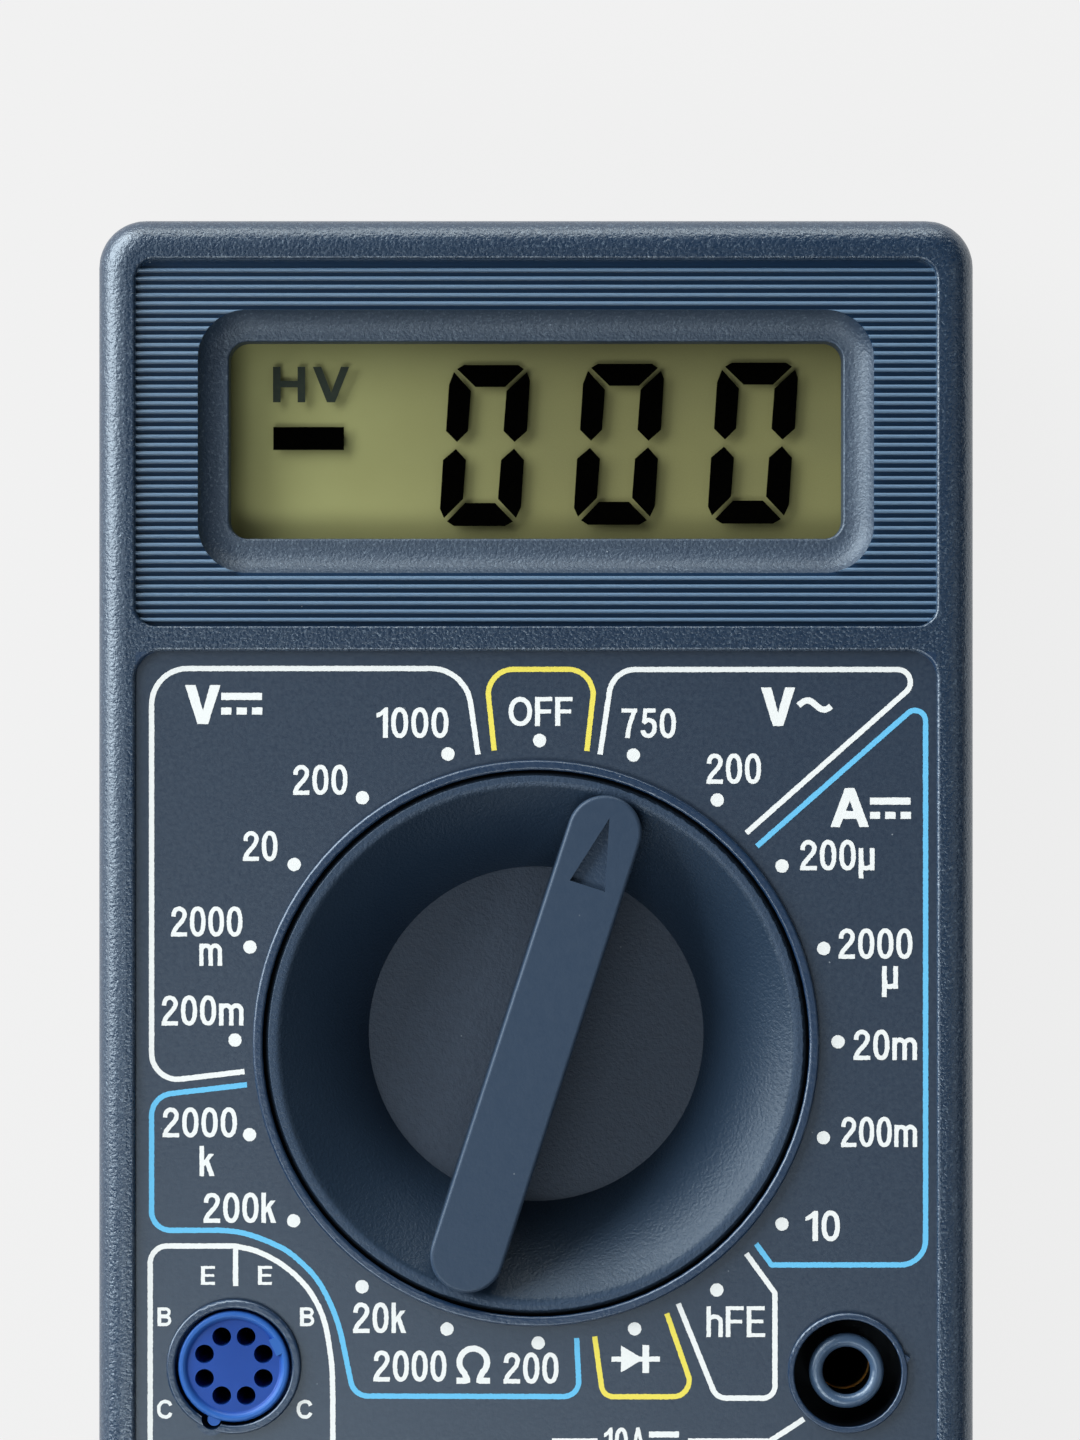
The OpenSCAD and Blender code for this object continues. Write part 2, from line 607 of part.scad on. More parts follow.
module snap_contacts() color("#c9ccd0") {
  translate([battery_x1 + 0.4, battery_yc + snap_dy, battery_zc]) rotate([0, 90, 0]) difference() {
    cylinder(r = 3.7, h = 2.5);
    translate([0, 0, -1]) cylinder(r = 2.85, h = 3.2);
  }
  translate([battery_x1 + 0.7, battery_yc - snap_dy, battery_zc]) rotate([0, 90, 0]) cylinder(r = 2.9, h = 2.2);
}

lead_x = battery_x1 + 4.4;
lead_red = [[lead_x + 0.3, -41.6, 11], [18.9, -41.2, 11.1], [19.3, -39, 11.3], [18.7, -36, 11.4], [18, -33, 11.2],
  [17.6, -30.6, 11.3], [17.5, -29.2, 12], [17.5, -29, 12.8], [17.5, -29, 13.1]];
lead_black = [[lead_x + 0.3, -54, 11], [18.9, -53.6, 10.6], [19.3, -50, 9.6], [19, -45, 8.8], [19, -40, 9],
  [18.9, -35, 9.6], [17.2, -30, 9.8], [16.2, -27, 10.6], [15.9, -25.6, 11.6], [15.8, -25.2, 12.6], [15.8, -25.2, 13.1]];
// The path of a lead: square to the snap at one end and to the board at the other
function lead(p) = concat([[lead_x + 0.02, p[0][1], p[0][2]]], smooth(p, 2),
  [[p[len(p) - 1][0], p[len(p) - 1][1], board_bot - 0.02]]);
module battery_lead_red() color("#b4231f") tube(lead(lead_red), 0.65, 8, [0.3, 0.1, -1]);
module battery_lead_black() color("#1b1b1d") tube(lead(lead_black), 0.65, 8, [1, 0.1, -0.4]);

module fuse_at() translate([-10, -22.5, board_bot - 3.8]) rotate([0, 90, 0]) children();
module fuse_glass() color([0.8, 0.85, 0.85, 0.5]) fuse_at() difference() {
  translate([0, 0, 0.5]) cylinder(r = 2.35, h = 19);
  cylinder(r = 1.75, h = 30);
}
module fuse_caps() color("#c9ccd0") fuse_at() {
  for (m = [0, 1]) translate([0, 0, m * 20]) mirror([0, 0, m]) {
    difference() {
      cylinder(r = 2.6, h = 5);
      translate([0, 0, 0.5]) cylinder(r = 2.35, h = 6);
    }
    translate([0, 0, 0.4]) cylinder(r = 0.5, h = 0.8);
  }
  translate([0, 0, 1]) cylinder(r = 0.12, h = 18);
}
module fuse_clips() color("#bfa05a")
  for (x = [-9.2, 6.2]) translate([x, -22.5, board_bot]) rotate([90, 0, 90]) linear_extrude(3) difference() {
    union() {
      translate([0, -3.8]) circle(2.95);
      translate([-2.95, -3.8]) square([5.9, 3.8]);
    }
    translate([0, -3.8]) circle(2.6);
    translate([-2.6, -3.8]) square([5.2, 3.45]);
    translate([-5, -9.2]) square([10, 3.5]);
  }

module shunt_wire() color("#a9744f") {
  for (y = [-36.2, -47.4]) translate([29.6, y, 8.4]) cylinder(r = 0.8, h = board_bot - 8.4);
  for (y = [-36.2, -47.4]) translate([29.6, y, 8.4]) sphere(0.8);
  translate([29.6, -47.4, 8.4]) rotate([-90, 0, 0]) cylinder(r = 0.8, h = 11.2);
}

module trimmer_body() color("#2b5fa8") translate([-20, 14, 0]) difference() {
  translate([-3.4, -3.4, board_bot - 3.6]) cube([6.8, 6.8, 3.6]);
  translate([0, 0, board_bot - 4]) cylinder(r = 2.2, h = 2.4);
}
module trimmer_rotor() color("#e8e3d6") translate([-20, 14, 0]) difference() {
  translate([0, 0, board_bot - 3.9]) cylinder(r = 2.15, h = 2.2);
  translate([-1.7, -0.35, board_bot - 5]) cube([3.4, 0.7, 1.9]);
}

// Axial part along X on the back of the board
module axial(len, r, span) {
  rotate([0, 90, 0]) translate([0, 0, -len / 2]) cylinder(r = r, h = len);
  rotate([0, 90, 0]) translate([0, 0, -span / 2]) cylinder(r = 0.3, h = span);
  for (s = [-1, 1]) translate([s * span / 2, 0, -0.3]) cylinder(r = 0.3, h = 1.9);
}
module resistors() color("#c9a878")
  for (i = [0:4], j = [0:2]) translate([-20 + j * 13, 29.5 - i * 3.4, board_bot - 1.6])
    if (!(j == 0 && i > 2)) axial(6.2, 1.15, 10);
module capacitors() color("#a5542c") {
  for (p = [[-22, 36], [-12, 36], [-2, 36]]) translate([p[0] - 3.6, p[1] - 1.3, board_bot - 6.2]) cube([7.2, 2.6, 6.2]);
  for (p = [[22, 12], [22, 4]]) translate([p[0], p[1], board_bot - 4.2]) rotate([90, 0, 0]) {
    translate([0, 0, -1.1]) cylinder(r = 3, h = 2.2);
    for (s = [-1, 1]) translate([s * 2.2, 2, 0]) rotate([-90, 0, 0]) cylinder(r = 0.3, h = 2.2);
  }
}
module diodes() color("#202124")
  for (y = [-10, -14]) translate([14, y, board_bot - 1.6]) axial(5, 1.3, 10);
module converter_chip() color("#151515") intersection() {
  translate([14, 41, board_bot + 15.2]) sphere(17, $fn = 180);
  translate([0, 28, board_bot - 5]) cube([30, 26, 5]);
}

module shield_sheet() color("#c7cacd") translate([0, 0, wall]) linear_extrude(0.15) difference() {
  translate([-31.5, -32]) square([63, 89]);
  for (p = case_screw_xy) translate(p) circle(4.5);
}

front_case();
rear_case();
case_screws();
circuit_board();
switch_tracks();
board_screws();
lcd_panel();
lcd_bracket();
zebra_strips();
selector_knob();
wiper_contacts();
detent_ball_upper();
detent_ball_lower();
detent_spring_upper();
detent_spring_lower();
input_jack_current();
input_jack_volts();
input_jack_common();
transistor_socket();
transistor_contacts();
battery();
battery_terminals();
battery_snap();
snap_contacts();
battery_lead_red();
battery_lead_black();
fuse_glass();
fuse_caps();
fuse_clips();
shunt_wire();
trimmer_body();
trimmer_rotor();
resistors();
capacitors();
diodes();
converter_chip();
shield_sheet();
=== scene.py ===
import math

import bpy
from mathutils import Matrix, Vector, geometry, noise


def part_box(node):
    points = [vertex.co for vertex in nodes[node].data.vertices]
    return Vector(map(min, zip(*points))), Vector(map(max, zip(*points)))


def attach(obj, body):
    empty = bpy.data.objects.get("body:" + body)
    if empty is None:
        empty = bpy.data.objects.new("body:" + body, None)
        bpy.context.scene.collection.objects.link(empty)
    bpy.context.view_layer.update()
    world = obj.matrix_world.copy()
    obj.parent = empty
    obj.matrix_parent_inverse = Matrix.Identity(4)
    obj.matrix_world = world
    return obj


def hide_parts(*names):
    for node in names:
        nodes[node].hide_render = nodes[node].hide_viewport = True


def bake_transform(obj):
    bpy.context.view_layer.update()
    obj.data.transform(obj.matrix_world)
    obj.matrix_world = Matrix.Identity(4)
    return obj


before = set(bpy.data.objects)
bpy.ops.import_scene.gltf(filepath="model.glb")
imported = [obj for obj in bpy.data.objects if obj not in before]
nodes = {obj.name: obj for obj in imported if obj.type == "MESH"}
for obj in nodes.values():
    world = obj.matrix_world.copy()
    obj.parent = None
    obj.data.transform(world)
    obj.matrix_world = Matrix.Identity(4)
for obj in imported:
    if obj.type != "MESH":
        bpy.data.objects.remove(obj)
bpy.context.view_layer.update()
scene = bpy.context.scene
MM = 0.001

# ---------------------------------------------------------------- camera
# Straight down on the front panel, 280 mm above the rim.
EYE_Z = 307.0
F_PX = 3521.7
CX, CY = 0.32, 23.02

cam_data = bpy.data.cameras.new("camera")
cam = bpy.data.objects.new("camera", cam_data)
scene.collection.objects.link(cam)
cam.location = (CX * MM, CY * MM, EYE_Z * MM)
cam.rotation_euler = (0, 0, 0)
cam_data.sensor_width = 36.0
cam_data.lens = F_PX * 36.0 / 1440.0
cam_data.clip_start = 0.01
cam_data.clip_end = 20
scene.camera = cam


def at(px, py, z):
    """A pixel of the picture, carried to the plane at height z, in mm."""
    s = F_PX / (EYE_Z - z)
    return (CX + (px - 540.0) / s, CY + (720.0 - py) / s)


# ---------------------------------------------------------------- materials
def srgb(r, g, b):
    def f(c):
        c /= 255.0
        return c / 12.92 if c <= 0.04045 else ((c + 0.055) / 1.055) ** 2.4
    return (f(r), f(g), f(b), 1.0)


class Mat:
    """A small builder for node materials around one Principled shader."""

    def __init__(self, name, rough=0.5, metal=0.0, spec=0.5, coat=0.0, coat_rough=0.1):
        self.mat = bpy.data.materials.new(name)
        self.mat.use_nodes = True
        self.t = self.mat.node_tree
        self.t.nodes.clear()
        self.out = self.new("ShaderNodeOutputMaterial")
        self.bsdf = self.new("ShaderNodeBsdfPrincipled")
        self.link(self.bsdf.outputs[0], self.out.inputs[0])
        self.set("Roughness", rough)
        self.set("Metallic", metal)
        self.set("Specular IOR Level", spec)
        self.set("Coat Weight", coat)
        self.set("Coat Roughness", coat_rough)
        self.coord = self.new("ShaderNodeTexCoord").outputs["Object"]

    def new(self, kind, **kw):
        n = self.t.nodes.new(kind)
        for k, v in kw.items():
            setattr(n, k, v)
        return n

    def link(self, a, b):
        self.t.links.new(a, b)

    def set(self, name, value):
        s = self.bsdf.inputs[name]
        if isinstance(value, (int, float, tuple)):
            s.default_value = value
        else:
            self.link(value, s)

    def put(self, socket, value):
        if isinstance(value, (int, float, tuple)):
            socket.default_value = value
        else:
            self.link(value, socket)

    def noise(self, mm, detail=2.0, rough=0.5, stretch=None, lac=2.0):
        n = self.new("ShaderNodeTexNoise")
        n.inputs["Scale"].default_value = 1000.0 / mm
        n.inputs["Detail"].default_value = detail
        n.inputs["Roughness"].default_value = rough
        n.inputs["Lacunarity"].default_value = lac
        if stretch:
            m = self.new("ShaderNodeMapping")
            m.inputs["Scale"].default_value = stretch
            self.link(self.coord, m.inputs[0])
            self.link(m.outputs[0], n.inputs["Vector"])
        else:
            self.link(self.coord, n.inputs["Vector"])
        return n.outputs["Fac"]

    def cells(self, mm, rnd=1.0, out="Distance"):
        n = self.new("ShaderNodeTexVoronoi")
        n.inputs["Scale"].default_value = 1000.0 / mm
        n.inputs["Randomness"].default_value = rnd
        self.link(self.coord, n.inputs["Vector"])
        return n.outputs[out]

    def math(self, op, a, b=0.0, c=None, clamp=False):
        n = self.new("ShaderNodeMath", operation=op, use_clamp=clamp)
        self.put(n.inputs[0], a)
        self.put(n.inputs[1], b)
        if c is not None:
            self.put(n.inputs[2], c)
        return n.outputs[0]

    def span(self, v, a, b, c=0.0, d=1.0, smooth=False):
        n = self.new("ShaderNodeMapRange")
        n.interpolation_type = "SMOOTHSTEP" if smooth else "LINEAR"
        self.put(n.inputs["Value"], v)
        for k, x in (("From Min", a), ("From Max", b), ("To Min", c), ("To Max", d)):
            self.put(n.inputs[k], x)
        return n.outputs["Result"]

    def mix(self, f, a, b):
        n = self.new("ShaderNodeMix", data_type="RGBA")
        self.put(n.inputs["Factor"], f)
        self.put(n.inputs["A"], a)
        self.put(n.inputs["B"], b)
        return n.outputs["Result"]

    def mixf(self, f, a, b):
        n = self.new("ShaderNodeMix", data_type="FLOAT")
        self.put(n.inputs[0], f)
        self.put(n.inputs[2], a)
        self.put(n.inputs[3], b)
        return n.outputs[0]

    def xyz(self):
        n = self.new("ShaderNodeSeparateXYZ")
        self.link(self.coord, n.inputs[0])
        return n.outputs

    def bump(self, height, strength, dist_mm, normal=None):
        n = self.new("ShaderNodeBump")
        n.inputs["Strength"].default_value = strength
        n.inputs["Distance"].default_value = dist_mm * MM
        self.link(height, n.inputs["Height"])
        if normal is not None:
            self.link(normal, n.inputs["Normal"])
        return n.outputs[0]

    def specks(self, mm, size, rarity):
        """Sparse small spots, 1 on a spot: the cells of a pattern, kept only where a coarse noise is high."""
        d = self.cells(mm)
        spot = self.span(d, size, size * 0.5, 0.0, 1.0)
        keep = self.span(self.noise(mm * 3.7, 3.0, 0.7), rarity, rarity + 0.02, 0.0, 1.0)
        return self.math("MULTIPLY", spot, keep)


SPECK = srgb(176, 188, 196)
SHEEN = (0.76, 0.90, 1.0, 1.0)


def case_material(name, field):
    """Moulded plastic with a spark-eroded grain, coarse on the rims; the label field is duller and the ribs smoother."""
    m = Mat(name, spec=0.95)
    m.set("IOR", 1.57)
    m.set("Specular Tint", SHEEN)
    x, y, z = m.xyz()
    fine = m.noise(0.27, 2.0, 0.6)
    coarse = m.noise(0.5, 2.0, 0.5)
    drift = m.noise(11.0, 3.0, 0.6)
    tint = m.mix(m.span(drift, 0.3, 0.7, 0.0, 0.6), srgb(14, 36, 60), srgb(19, 41, 64))
    tint = m.mix(m.span(fine, 0.4, 0.75, 0.0, 0.35), tint, srgb(25, 46, 69))
    # painted glints: sparse light grey flecks in the grain stand in for the sparkle of light on the rims
    tint = m.mix(m.span(m.noise(0.26, 2.0, 0.7), 0.57, 0.7, 0.0, 0.42), tint, srgb(104, 122, 138))
    if field:
        label = m.math("MULTIPLY", m.span(z, 0.02646, 0.02647), m.span(z, 0.02653, 0.02654, 1.0, 0.0))
        label = m.math("MULTIPLY", label, m.span(y, 0.0286, 0.02865, 1.0, 0.0))
        ribs = m.math("MULTIPLY", m.span(z, 0.02603, 0.02606), m.span(z, 0.02656, 0.02658, 1.0, 0.0))
        inside = m.math("MULTIPLY", m.span(y, 0.0305, 0.03052), m.span(y, 0.0597, 0.05972, 1.0, 0.0))
        inside = m.math("MULTIPLY", inside, m.span(m.math("ABSOLUTE", x), 0.0319, 0.03192, 1.0, 0.0))
        ribs = m.math("MULTIPLY", ribs, inside)
        dull = m.mix(m.span(coarse, 0.35, 0.65, 0.0, 1.0), srgb(25, 40, 60), srgb(31, 46, 65))
        tint = m.mix(label, tint, dull)
        # collars, ring and guide tubes stand out a little bluer than the field round them
        low = m.math("MULTIPLY", m.span(y, 0.0284, 0.02845, 1.0, 0.0), m.span(m.math("ABSOLUTE", x), 0.0318, 0.03185, 1.0, 0.0))
        proud = m.math("MULTIPLY", low, m.math("SUBTRACT", 1.0, label))
        tint = m.mix(proud, tint, srgb(14, 40, 69))
        # painted shade and painted highlight: the ribs are painted darker at their feet and lighter at their tops
        tint = m.mix(ribs, tint, m.mix(m.span(z, 0.02614, 0.0264), srgb(23, 48, 75), srgb(80, 109, 137)))
        # painted shade: the plug wells, the slit round the selector and the one round the transistor socket are painted
        # nearly black inside, where shade falls
        def reach(cx, cy):
            dx = m.math("SUBTRACT", x, cx * MM)
            dy = m.math("SUBTRACT", y, cy * MM) if isinstance(cy, float) else cy
            return m.math("SQRT", m.math("ADD", m.math("MULTIPLY", dx, dx), m.math("MULTIPLY", dy, dy)))
        row = m.math("SUBTRACT", m.math("FLOORED_MODULO", m.math("ADD", y, 0.0607), 0.0127), 0.00635)
        r = reach(24.8, row)
        outer = m.span(r, 0.00295, 0.0031)
        wall = m.math("MULTIPLY", outer, m.span(z, 0.02688, 0.02665))
        tube = m.math("MULTIPLY", m.math("SUBTRACT", 1.0, outer), m.span(z, 0.0256, 0.0249))
        bore = m.math("MULTIPLY", m.span(r, 0.00228, 0.0024, 1.0, 0.0), m.span(z, 0.0257, 0.02545))
        tube = m.math("MAXIMUM", tube, bore)
        well = m.math("MULTIPLY", m.math("ADD", wall, tube), m.span(r, 0.0044, 0.00445, 1.0, 0.0))
        well = m.math("MULTIPLY", well, m.math("MULTIPLY", m.span(y, -0.0602, -0.0601), m.span(y, -0.0236, -0.0235, 1.0, 0.0)))
        slit = m.math("MULTIPLY", m.span(reach(0.0, -2.7), 0.02178, 0.0218, 1.0, 0.0), m.span(z, 0.02688, 0.0267))
        key = m.math("MULTIPLY", m.span(reach(-24.06, -28.45), 0.00475, 0.0048, 1.0, 0.0), m.span(z, 0.02688, 0.0267))
        # painted highlight: the top ring of each guide tube is painted lighter, where the light catches it
        lit = m.math("MULTIPLY", m.span(r, 0.0030, 0.0031, 1.0, 0.0), m.span(z, 0.0253, 0.0257))
        tint = m.mix(m.math("MULTIPLY", lit, m.span(y, -0.0236, -0.0235, 1.0, 0.0)), tint, srgb(58, 82, 110))
        dark = m.math("MAXIMUM", well, m.math("MAXIMUM", slit, key))
        # painted shade in the wells and slits
        tint = m.mix(dark, tint, srgb(7, 10, 15))
        grain = m.math("SUBTRACT", 1.0, m.math("MULTIPLY", label, 0.9))
        grain = m.math("SUBTRACT", grain, m.math("MULTIPLY", ribs, 0.85))
        grain = m.math("SUBTRACT", grain, m.math("MULTIPLY", proud, 0.6))
        grain = m.math("MULTIPLY", grain, m.math("SUBTRACT", 1.0, dark))
        # the coved surround is duller than the rims, the collars a little
        cove = m.math("MULTIPLY", m.span(z, 0.02598, 0.02602, 1.0, 0.0), inside)
        rough = m.mixf(cove, m.span(fine, 0.3, 0.7, 0.25, 0.33), m.span(fine, 0.3, 0.7, 0.46, 0.58))
        rough = m.mixf(proud, rough, m.span(fine, 0.3, 0.7, 0.3, 0.38))
        # the feet of the ribs are smooth and their tops rougher; the darker feet and lighter tops in the tint are
        # painted shade and painted highlight
        rough = m.mixf(ribs, rough, m.span(z, 0.02614, 0.0264, 0.2, 0.38))
        rough = m.mixf(label, rough, m.span(fine, 0.3, 0.7, 0.33, 0.405))
        rough = m.mixf(dark, rough, 0.15)
    else:
        grain = None
        rough = m.span(fine, 0.3, 0.7, 0.32, 0.44)
    tint = m.mix(m.math("MULTIPLY", m.specks(1.5, 0.05, 0.57), 0.45), tint, SPECK)
    m.set("Base Color", tint)
    m.set("Roughness", rough)
    b1 = m.new("ShaderNodeBump")
    b1.inputs["Distance"].default_value = 0.08 * MM
    m.link(fine, b1.inputs["Height"])
    b2 = m.new("ShaderNodeBump")
    b2.inputs["Distance"].default_value = 0.06 * MM
    m.link(coarse, b2.inputs["Height"])
    m.link(b1.outputs[0], b2.inputs["Normal"])
    if grain is not None:
        m.link(m.math("MULTIPLY", grain, 0.85), b1.inputs["Strength"])
        m.link(m.math("MULTIPLY", grain, 0.2), b2.inputs["Strength"])
    else:
        b1.inputs["Strength"].default_value = 0.85
        b2.inputs["Strength"].default_value = 0.5
    m.set("Normal", b2.outputs[0])
    return m


mat_case = case_material("case_plastic", True)
mat_rear = case_material("case_plastic_rear", False)


def knob_material():
    m = Mat("knob_plastic", spec=0.36)
    m.set("Specular Tint", SHEEN)
    x, y, z = m.xyz()
    fine = m.noise(0.27, 2.0, 0.6)
    drift = m.noise(9.0, 3.0, 0.6)
    soft = m.noise(0.6, 2.0, 0.5)
    # the flat floor of the dish is duller and greyer than the slope; the top of the bar is smoothest
    low = m.span(z, 0.01824, 0.01822, 0.0, 1.0)
    top = m.span(z, 0.0272, 0.0274, 0.0, 1.0)
    blue = m.mix(m.span(drift, 0.3, 0.7, 0.0, 0.6), srgb(30, 46, 64), srgb(37, 53, 71))
    grey = m.mix(m.span(soft, 0.35, 0.65, 0.0, 1.0), srgb(54, 64, 79), srgb(59, 70, 85))
    # painted light: the rim of the knob and the top of the bar are painted lighter than the slope of the dish
    blue = m.mix(m.span(z, 0.0268, 0.02688), blue, srgb(46, 62, 82))
    tint = m.mix(low, blue, grey)
    # painted shade: the side of the knob, down in the slit round it, is painted nearly black
    dy = m.math("ADD", y, 0.0027)
    r2 = m.math("ADD", m.math("MULTIPLY", x, x), m.math("MULTIPLY", dy, dy))
    side = m.math("MULTIPLY", m.span(r2, 0.0212 ** 2, 0.0213 ** 2), m.span(z, 0.0269, 0.0266))
    tint = m.mix(side, tint, srgb(7, 10, 15))
    tint = m.mix(m.math("MULTIPLY", m.specks(1.7, 0.045, 0.58), 0.45), tint, SPECK)
    m.set("Base Color", tint)
    r = m.mixf(top, m.span(fine, 0.3, 0.7, 0.34, 0.46), m.span(soft, 0.3, 0.7, 0.36, 0.44))
    m.set("Roughness", m.mixf(low, r, m.span(soft, 0.3, 0.7, 0.5, 0.62)))
    b1 = m.new("ShaderNodeBump")
    b1.inputs["Distance"].default_value = 0.1 * MM
    m.link(m.math("SUBTRACT", 0.6, m.math("MULTIPLY", top, 0.5)), b1.inputs["Strength"])
    m.link(fine, b1.inputs["Height"])
    m.set("Normal", m.bump(soft, 0.16, 0.05, b1.outputs[0]))
    return m


mat_knob = knob_material()


def print_material(name, colour, worn):
    """Pad-printed ink: thin, a little rough, taking up the grain below it."""
    m = Mat(name, rough=0.6, spec=0.15)
    fine = m.noise(0.16, 3.0, 0.7)
    tint = m.mix(m.span(fine, 0.55, 0.82, 0.0, 0.35), colour, worn)
    m.set("Base Color", tint)
    m.set("Roughness", m.span(fine, 0.3, 0.7, 0.48, 0.66))
    m.set("Normal", m.bump(fine, 0.3, 0.04))
    return m


mat_white = print_material("ink_white", srgb(221, 228, 229), srgb(190, 199, 204))
mat_yellow = print_material("ink_yellow", srgb(222, 212, 92), srgb(190, 178, 80))
mat_blue = print_material("ink_blue", srgb(99, 183, 226), srgb(82, 154, 196))


def lcd_material():
    m = Mat("lcd_reflector", rough=0.4, spec=0.2)
    x, y, z = m.xyz()
    # darker towards the right: partly the film's own tone, partly painted shade standing for the fall of light across
    # it
    side = m.span(x, -0.022, 0.006, 0.0, 1.0, smooth=True)
    # painted shade: the film is painted darker along its bottom edge, under the shadow of the window
    painted_edge_shade = m.span(y, 0.0374, 0.0405, 0.42, 0.0, smooth=True)
    cloud = m.noise(6.0, 2.0, 0.5)
    fine = m.noise(0.09, 2.0, 0.6)
    tint = m.mix(side, srgb(150, 154, 104), srgb(110, 111, 74))
    tint = m.mix(m.span(cloud, 0.3, 0.7, 0.0, 0.3), tint, srgb(124, 125, 79))
    tint = m.mix(m.span(fine, 0.4, 0.8, 0.0, 0.1), tint, srgb(160, 163, 116))
    tint = m.mix(m.math("MULTIPLY", m.specks(2.6, 0.03, 0.55), 0.6), tint, srgb(214, 214, 180))
    tint = m.mix(painted_edge_shade, tint, srgb(76, 78, 50))
    m.set("Base Color", tint)
    m.set("Roughness", m.span(fine, 0.3, 0.7, 0.36, 0.46))
    m.set("Normal", m.bump(fine, 0.06, 0.02))
    return m


def plain(name, colour, second, mm, rough, metal=0.0, spec=0.5, bump=0.1, coat=0.0):
    m = Mat(name, rough=rough, metal=metal, spec=spec, coat=coat)
    n = m.noise(mm, 3.0, 0.6)
    m.set("Base Color", m.mix(m.span(n, 0.3, 0.7, 0.0, 1.0), colour, second))
    m.set("Roughness", m.span(n, 0.3, 0.7, rough * 0.88, min(1.0, rough * 1.14)))
    m.set("Normal", m.bump(n, bump, 0.04))
    return m


mat_lcd = lcd_material()
mat_seg = plain("lcd_segment", (0.0004, 0.0004, 0.0004, 1), (0.0008, 0.0008, 0.0006, 1), 0.3, 0.6, spec=0.0)
mat_mark = plain("lcd_mark", srgb(44, 52, 48), srgb(50, 57, 50), 0.3, 0.6, spec=0.0)


def socket_material():
    m = Mat("socket_plastic", rough=0.36, spec=0.4)
    n = m.noise(4.0, 3.0, 0.6)
    fine = m.noise(0.25, 3.0, 0.6)
    m.set("Specular Tint", (0.62, 0.8, 1.0, 1.0))
    x, y, z = m.xyz()
    tint = m.mix(m.span(n, 0.3, 0.7, 0.0, 1.0), srgb(24, 61, 140), srgb(30, 69, 152))
    # painted highlight: the raised rim of the socket is painted lighter than its recessed face
    m.set("Base Color", m.mix(m.span(z, 0.02655, 0.0268), tint, srgb(42, 93, 170)))
    m.set("Roughness", m.span(fine, 0.3, 0.7, 0.3, 0.42))
    m.set("Normal", m.bump(fine, 0.12, 0.04))
    return m


mat_socket = socket_material()


def turned_brass(name, a, b, rough, depth=None, metal=1.0):
    """Turned metal: fine rings along the axis; below depth a bore is painted nearly black as painted shade."""
    m = Mat(name, rough=rough, metal=metal)
    rings = m.noise(0.12, 2.0, 0.5, stretch=(0.02, 0.02, 1.0))
    dull = m.noise(1.3, 3.0, 0.6)
    tint = m.mix(m.span(dull, 0.3, 0.7, 0.0, 1.0), a, b)
    if depth:
        x, y, z = m.xyz()
        # painted shade: the bore is painted nearly black below the given height
        tint = m.mix(m.span(z, (depth - 0.3) * MM, (depth - 1.0) * MM, 0.0, 1.0), tint, srgb(8, 7, 5))
    m.set("Base Color", tint)
    m.set("Roughness", m.span(dull, 0.3, 0.7, rough * 0.8, rough * 1.25))
    m.set("Normal", m.bump(rings, 0.12, 0.03))
    return m


mat_brass = turned_brass("brass", srgb(255, 196, 104), srgb(250, 186, 94), 0.5, 22.15, 0.25)
mat_copper = turned_brass("plated_copper", srgb(206, 172, 100), srgb(186, 150, 84), 0.34)
mat_steel = turned_brass("plated_steel", srgb(190, 192, 194), srgb(172, 174, 178), 0.3)
mat_sheet = plain("tinned_sheet", srgb(196, 198, 200), srgb(182, 185, 188), 3.0, 0.3, metal=1.0)
mat_board = plain("board_laminate", srgb(34, 96, 58), srgb(28, 84, 50), 2.4, 0.32)
mat_whiteplast = plain("white_plastic", srgb(226, 224, 214), srgb(216, 214, 204), 1.2, 0.5)
mat_black = plain("black_plastic", srgb(24, 24, 26), srgb(32, 32, 34), 0.6, 0.5)
mat_rubber = plain("soft_rubber", srgb(28, 28, 30), srgb(36, 36, 38), 0.5, 0.62)
mat_red = plain("lead_red", srgb(168, 30, 26), srgb(150, 26, 24), 0.9, 0.45)
mat_jacket = plain("battery_jacket", srgb(54, 55, 58), srgb(48, 49, 52), 3.0, 0.35)
mat_res = plain("resistor_body", srgb(200, 172, 126), srgb(188, 158, 112), 0.8, 0.34)
mat_cap = plain("capacitor_body", srgb(164, 84, 42), srgb(150, 74, 36), 0.8, 0.3)


def clear_glass():
    m = Mat("clear_glass", rough=0.06)
    n = m.noise(1.5, 2.0, 0.5)
    m.set("Base Color", m.mix(m.span(n, 0.3, 0.7, 0.0, 1.0), srgb(226, 236, 234), srgb(214, 228, 226)))
    m.set("Alpha", 0.3)
    return m


mat_glass = clear_glass()

finish = {
    "front_case": mat_case, "rear_case": mat_rear, "case_screws": mat_steel, "circuit_board": mat_board,
    "switch_tracks": mat_copper, "board_screws": mat_steel, "lcd_bracket": mat_whiteplast,
    "zebra_strips": mat_rubber, "selector_knob": mat_knob, "wiper_contacts": mat_copper,
    "detent_ball_upper": mat_steel, "detent_ball_lower": mat_steel, "detent_spring_upper": mat_steel,
    "detent_spring_lower": mat_steel, "input_jack_current": mat_brass, "input_jack_volts": mat_brass,
    "input_jack_common": mat_brass, "transistor_socket": mat_socket, "transistor_contacts": mat_brass,
    "battery": mat_jacket, "battery_terminals": mat_steel, "battery_snap": mat_rubber,
    "snap_contacts": mat_steel, "battery_lead_red": mat_red, "battery_lead_black": mat_rubber,
    "fuse_glass": mat_glass, "fuse_caps": mat_steel, "fuse_clips": mat_copper, "shunt_wire": mat_copper,
    "trimmer_body": mat_socket, "trimmer_rotor": mat_whiteplast, "resistors": mat_res,
    "capacitors": mat_cap, "diodes": mat_black, "converter_chip": mat_black, "shield_sheet": mat_sheet,
    "lcd_panel": mat_lcd,
}
for name, m in finish.items():
    o = nodes[name]
    o.data.materials.clear()
    o.data.materials.append(m.mat)


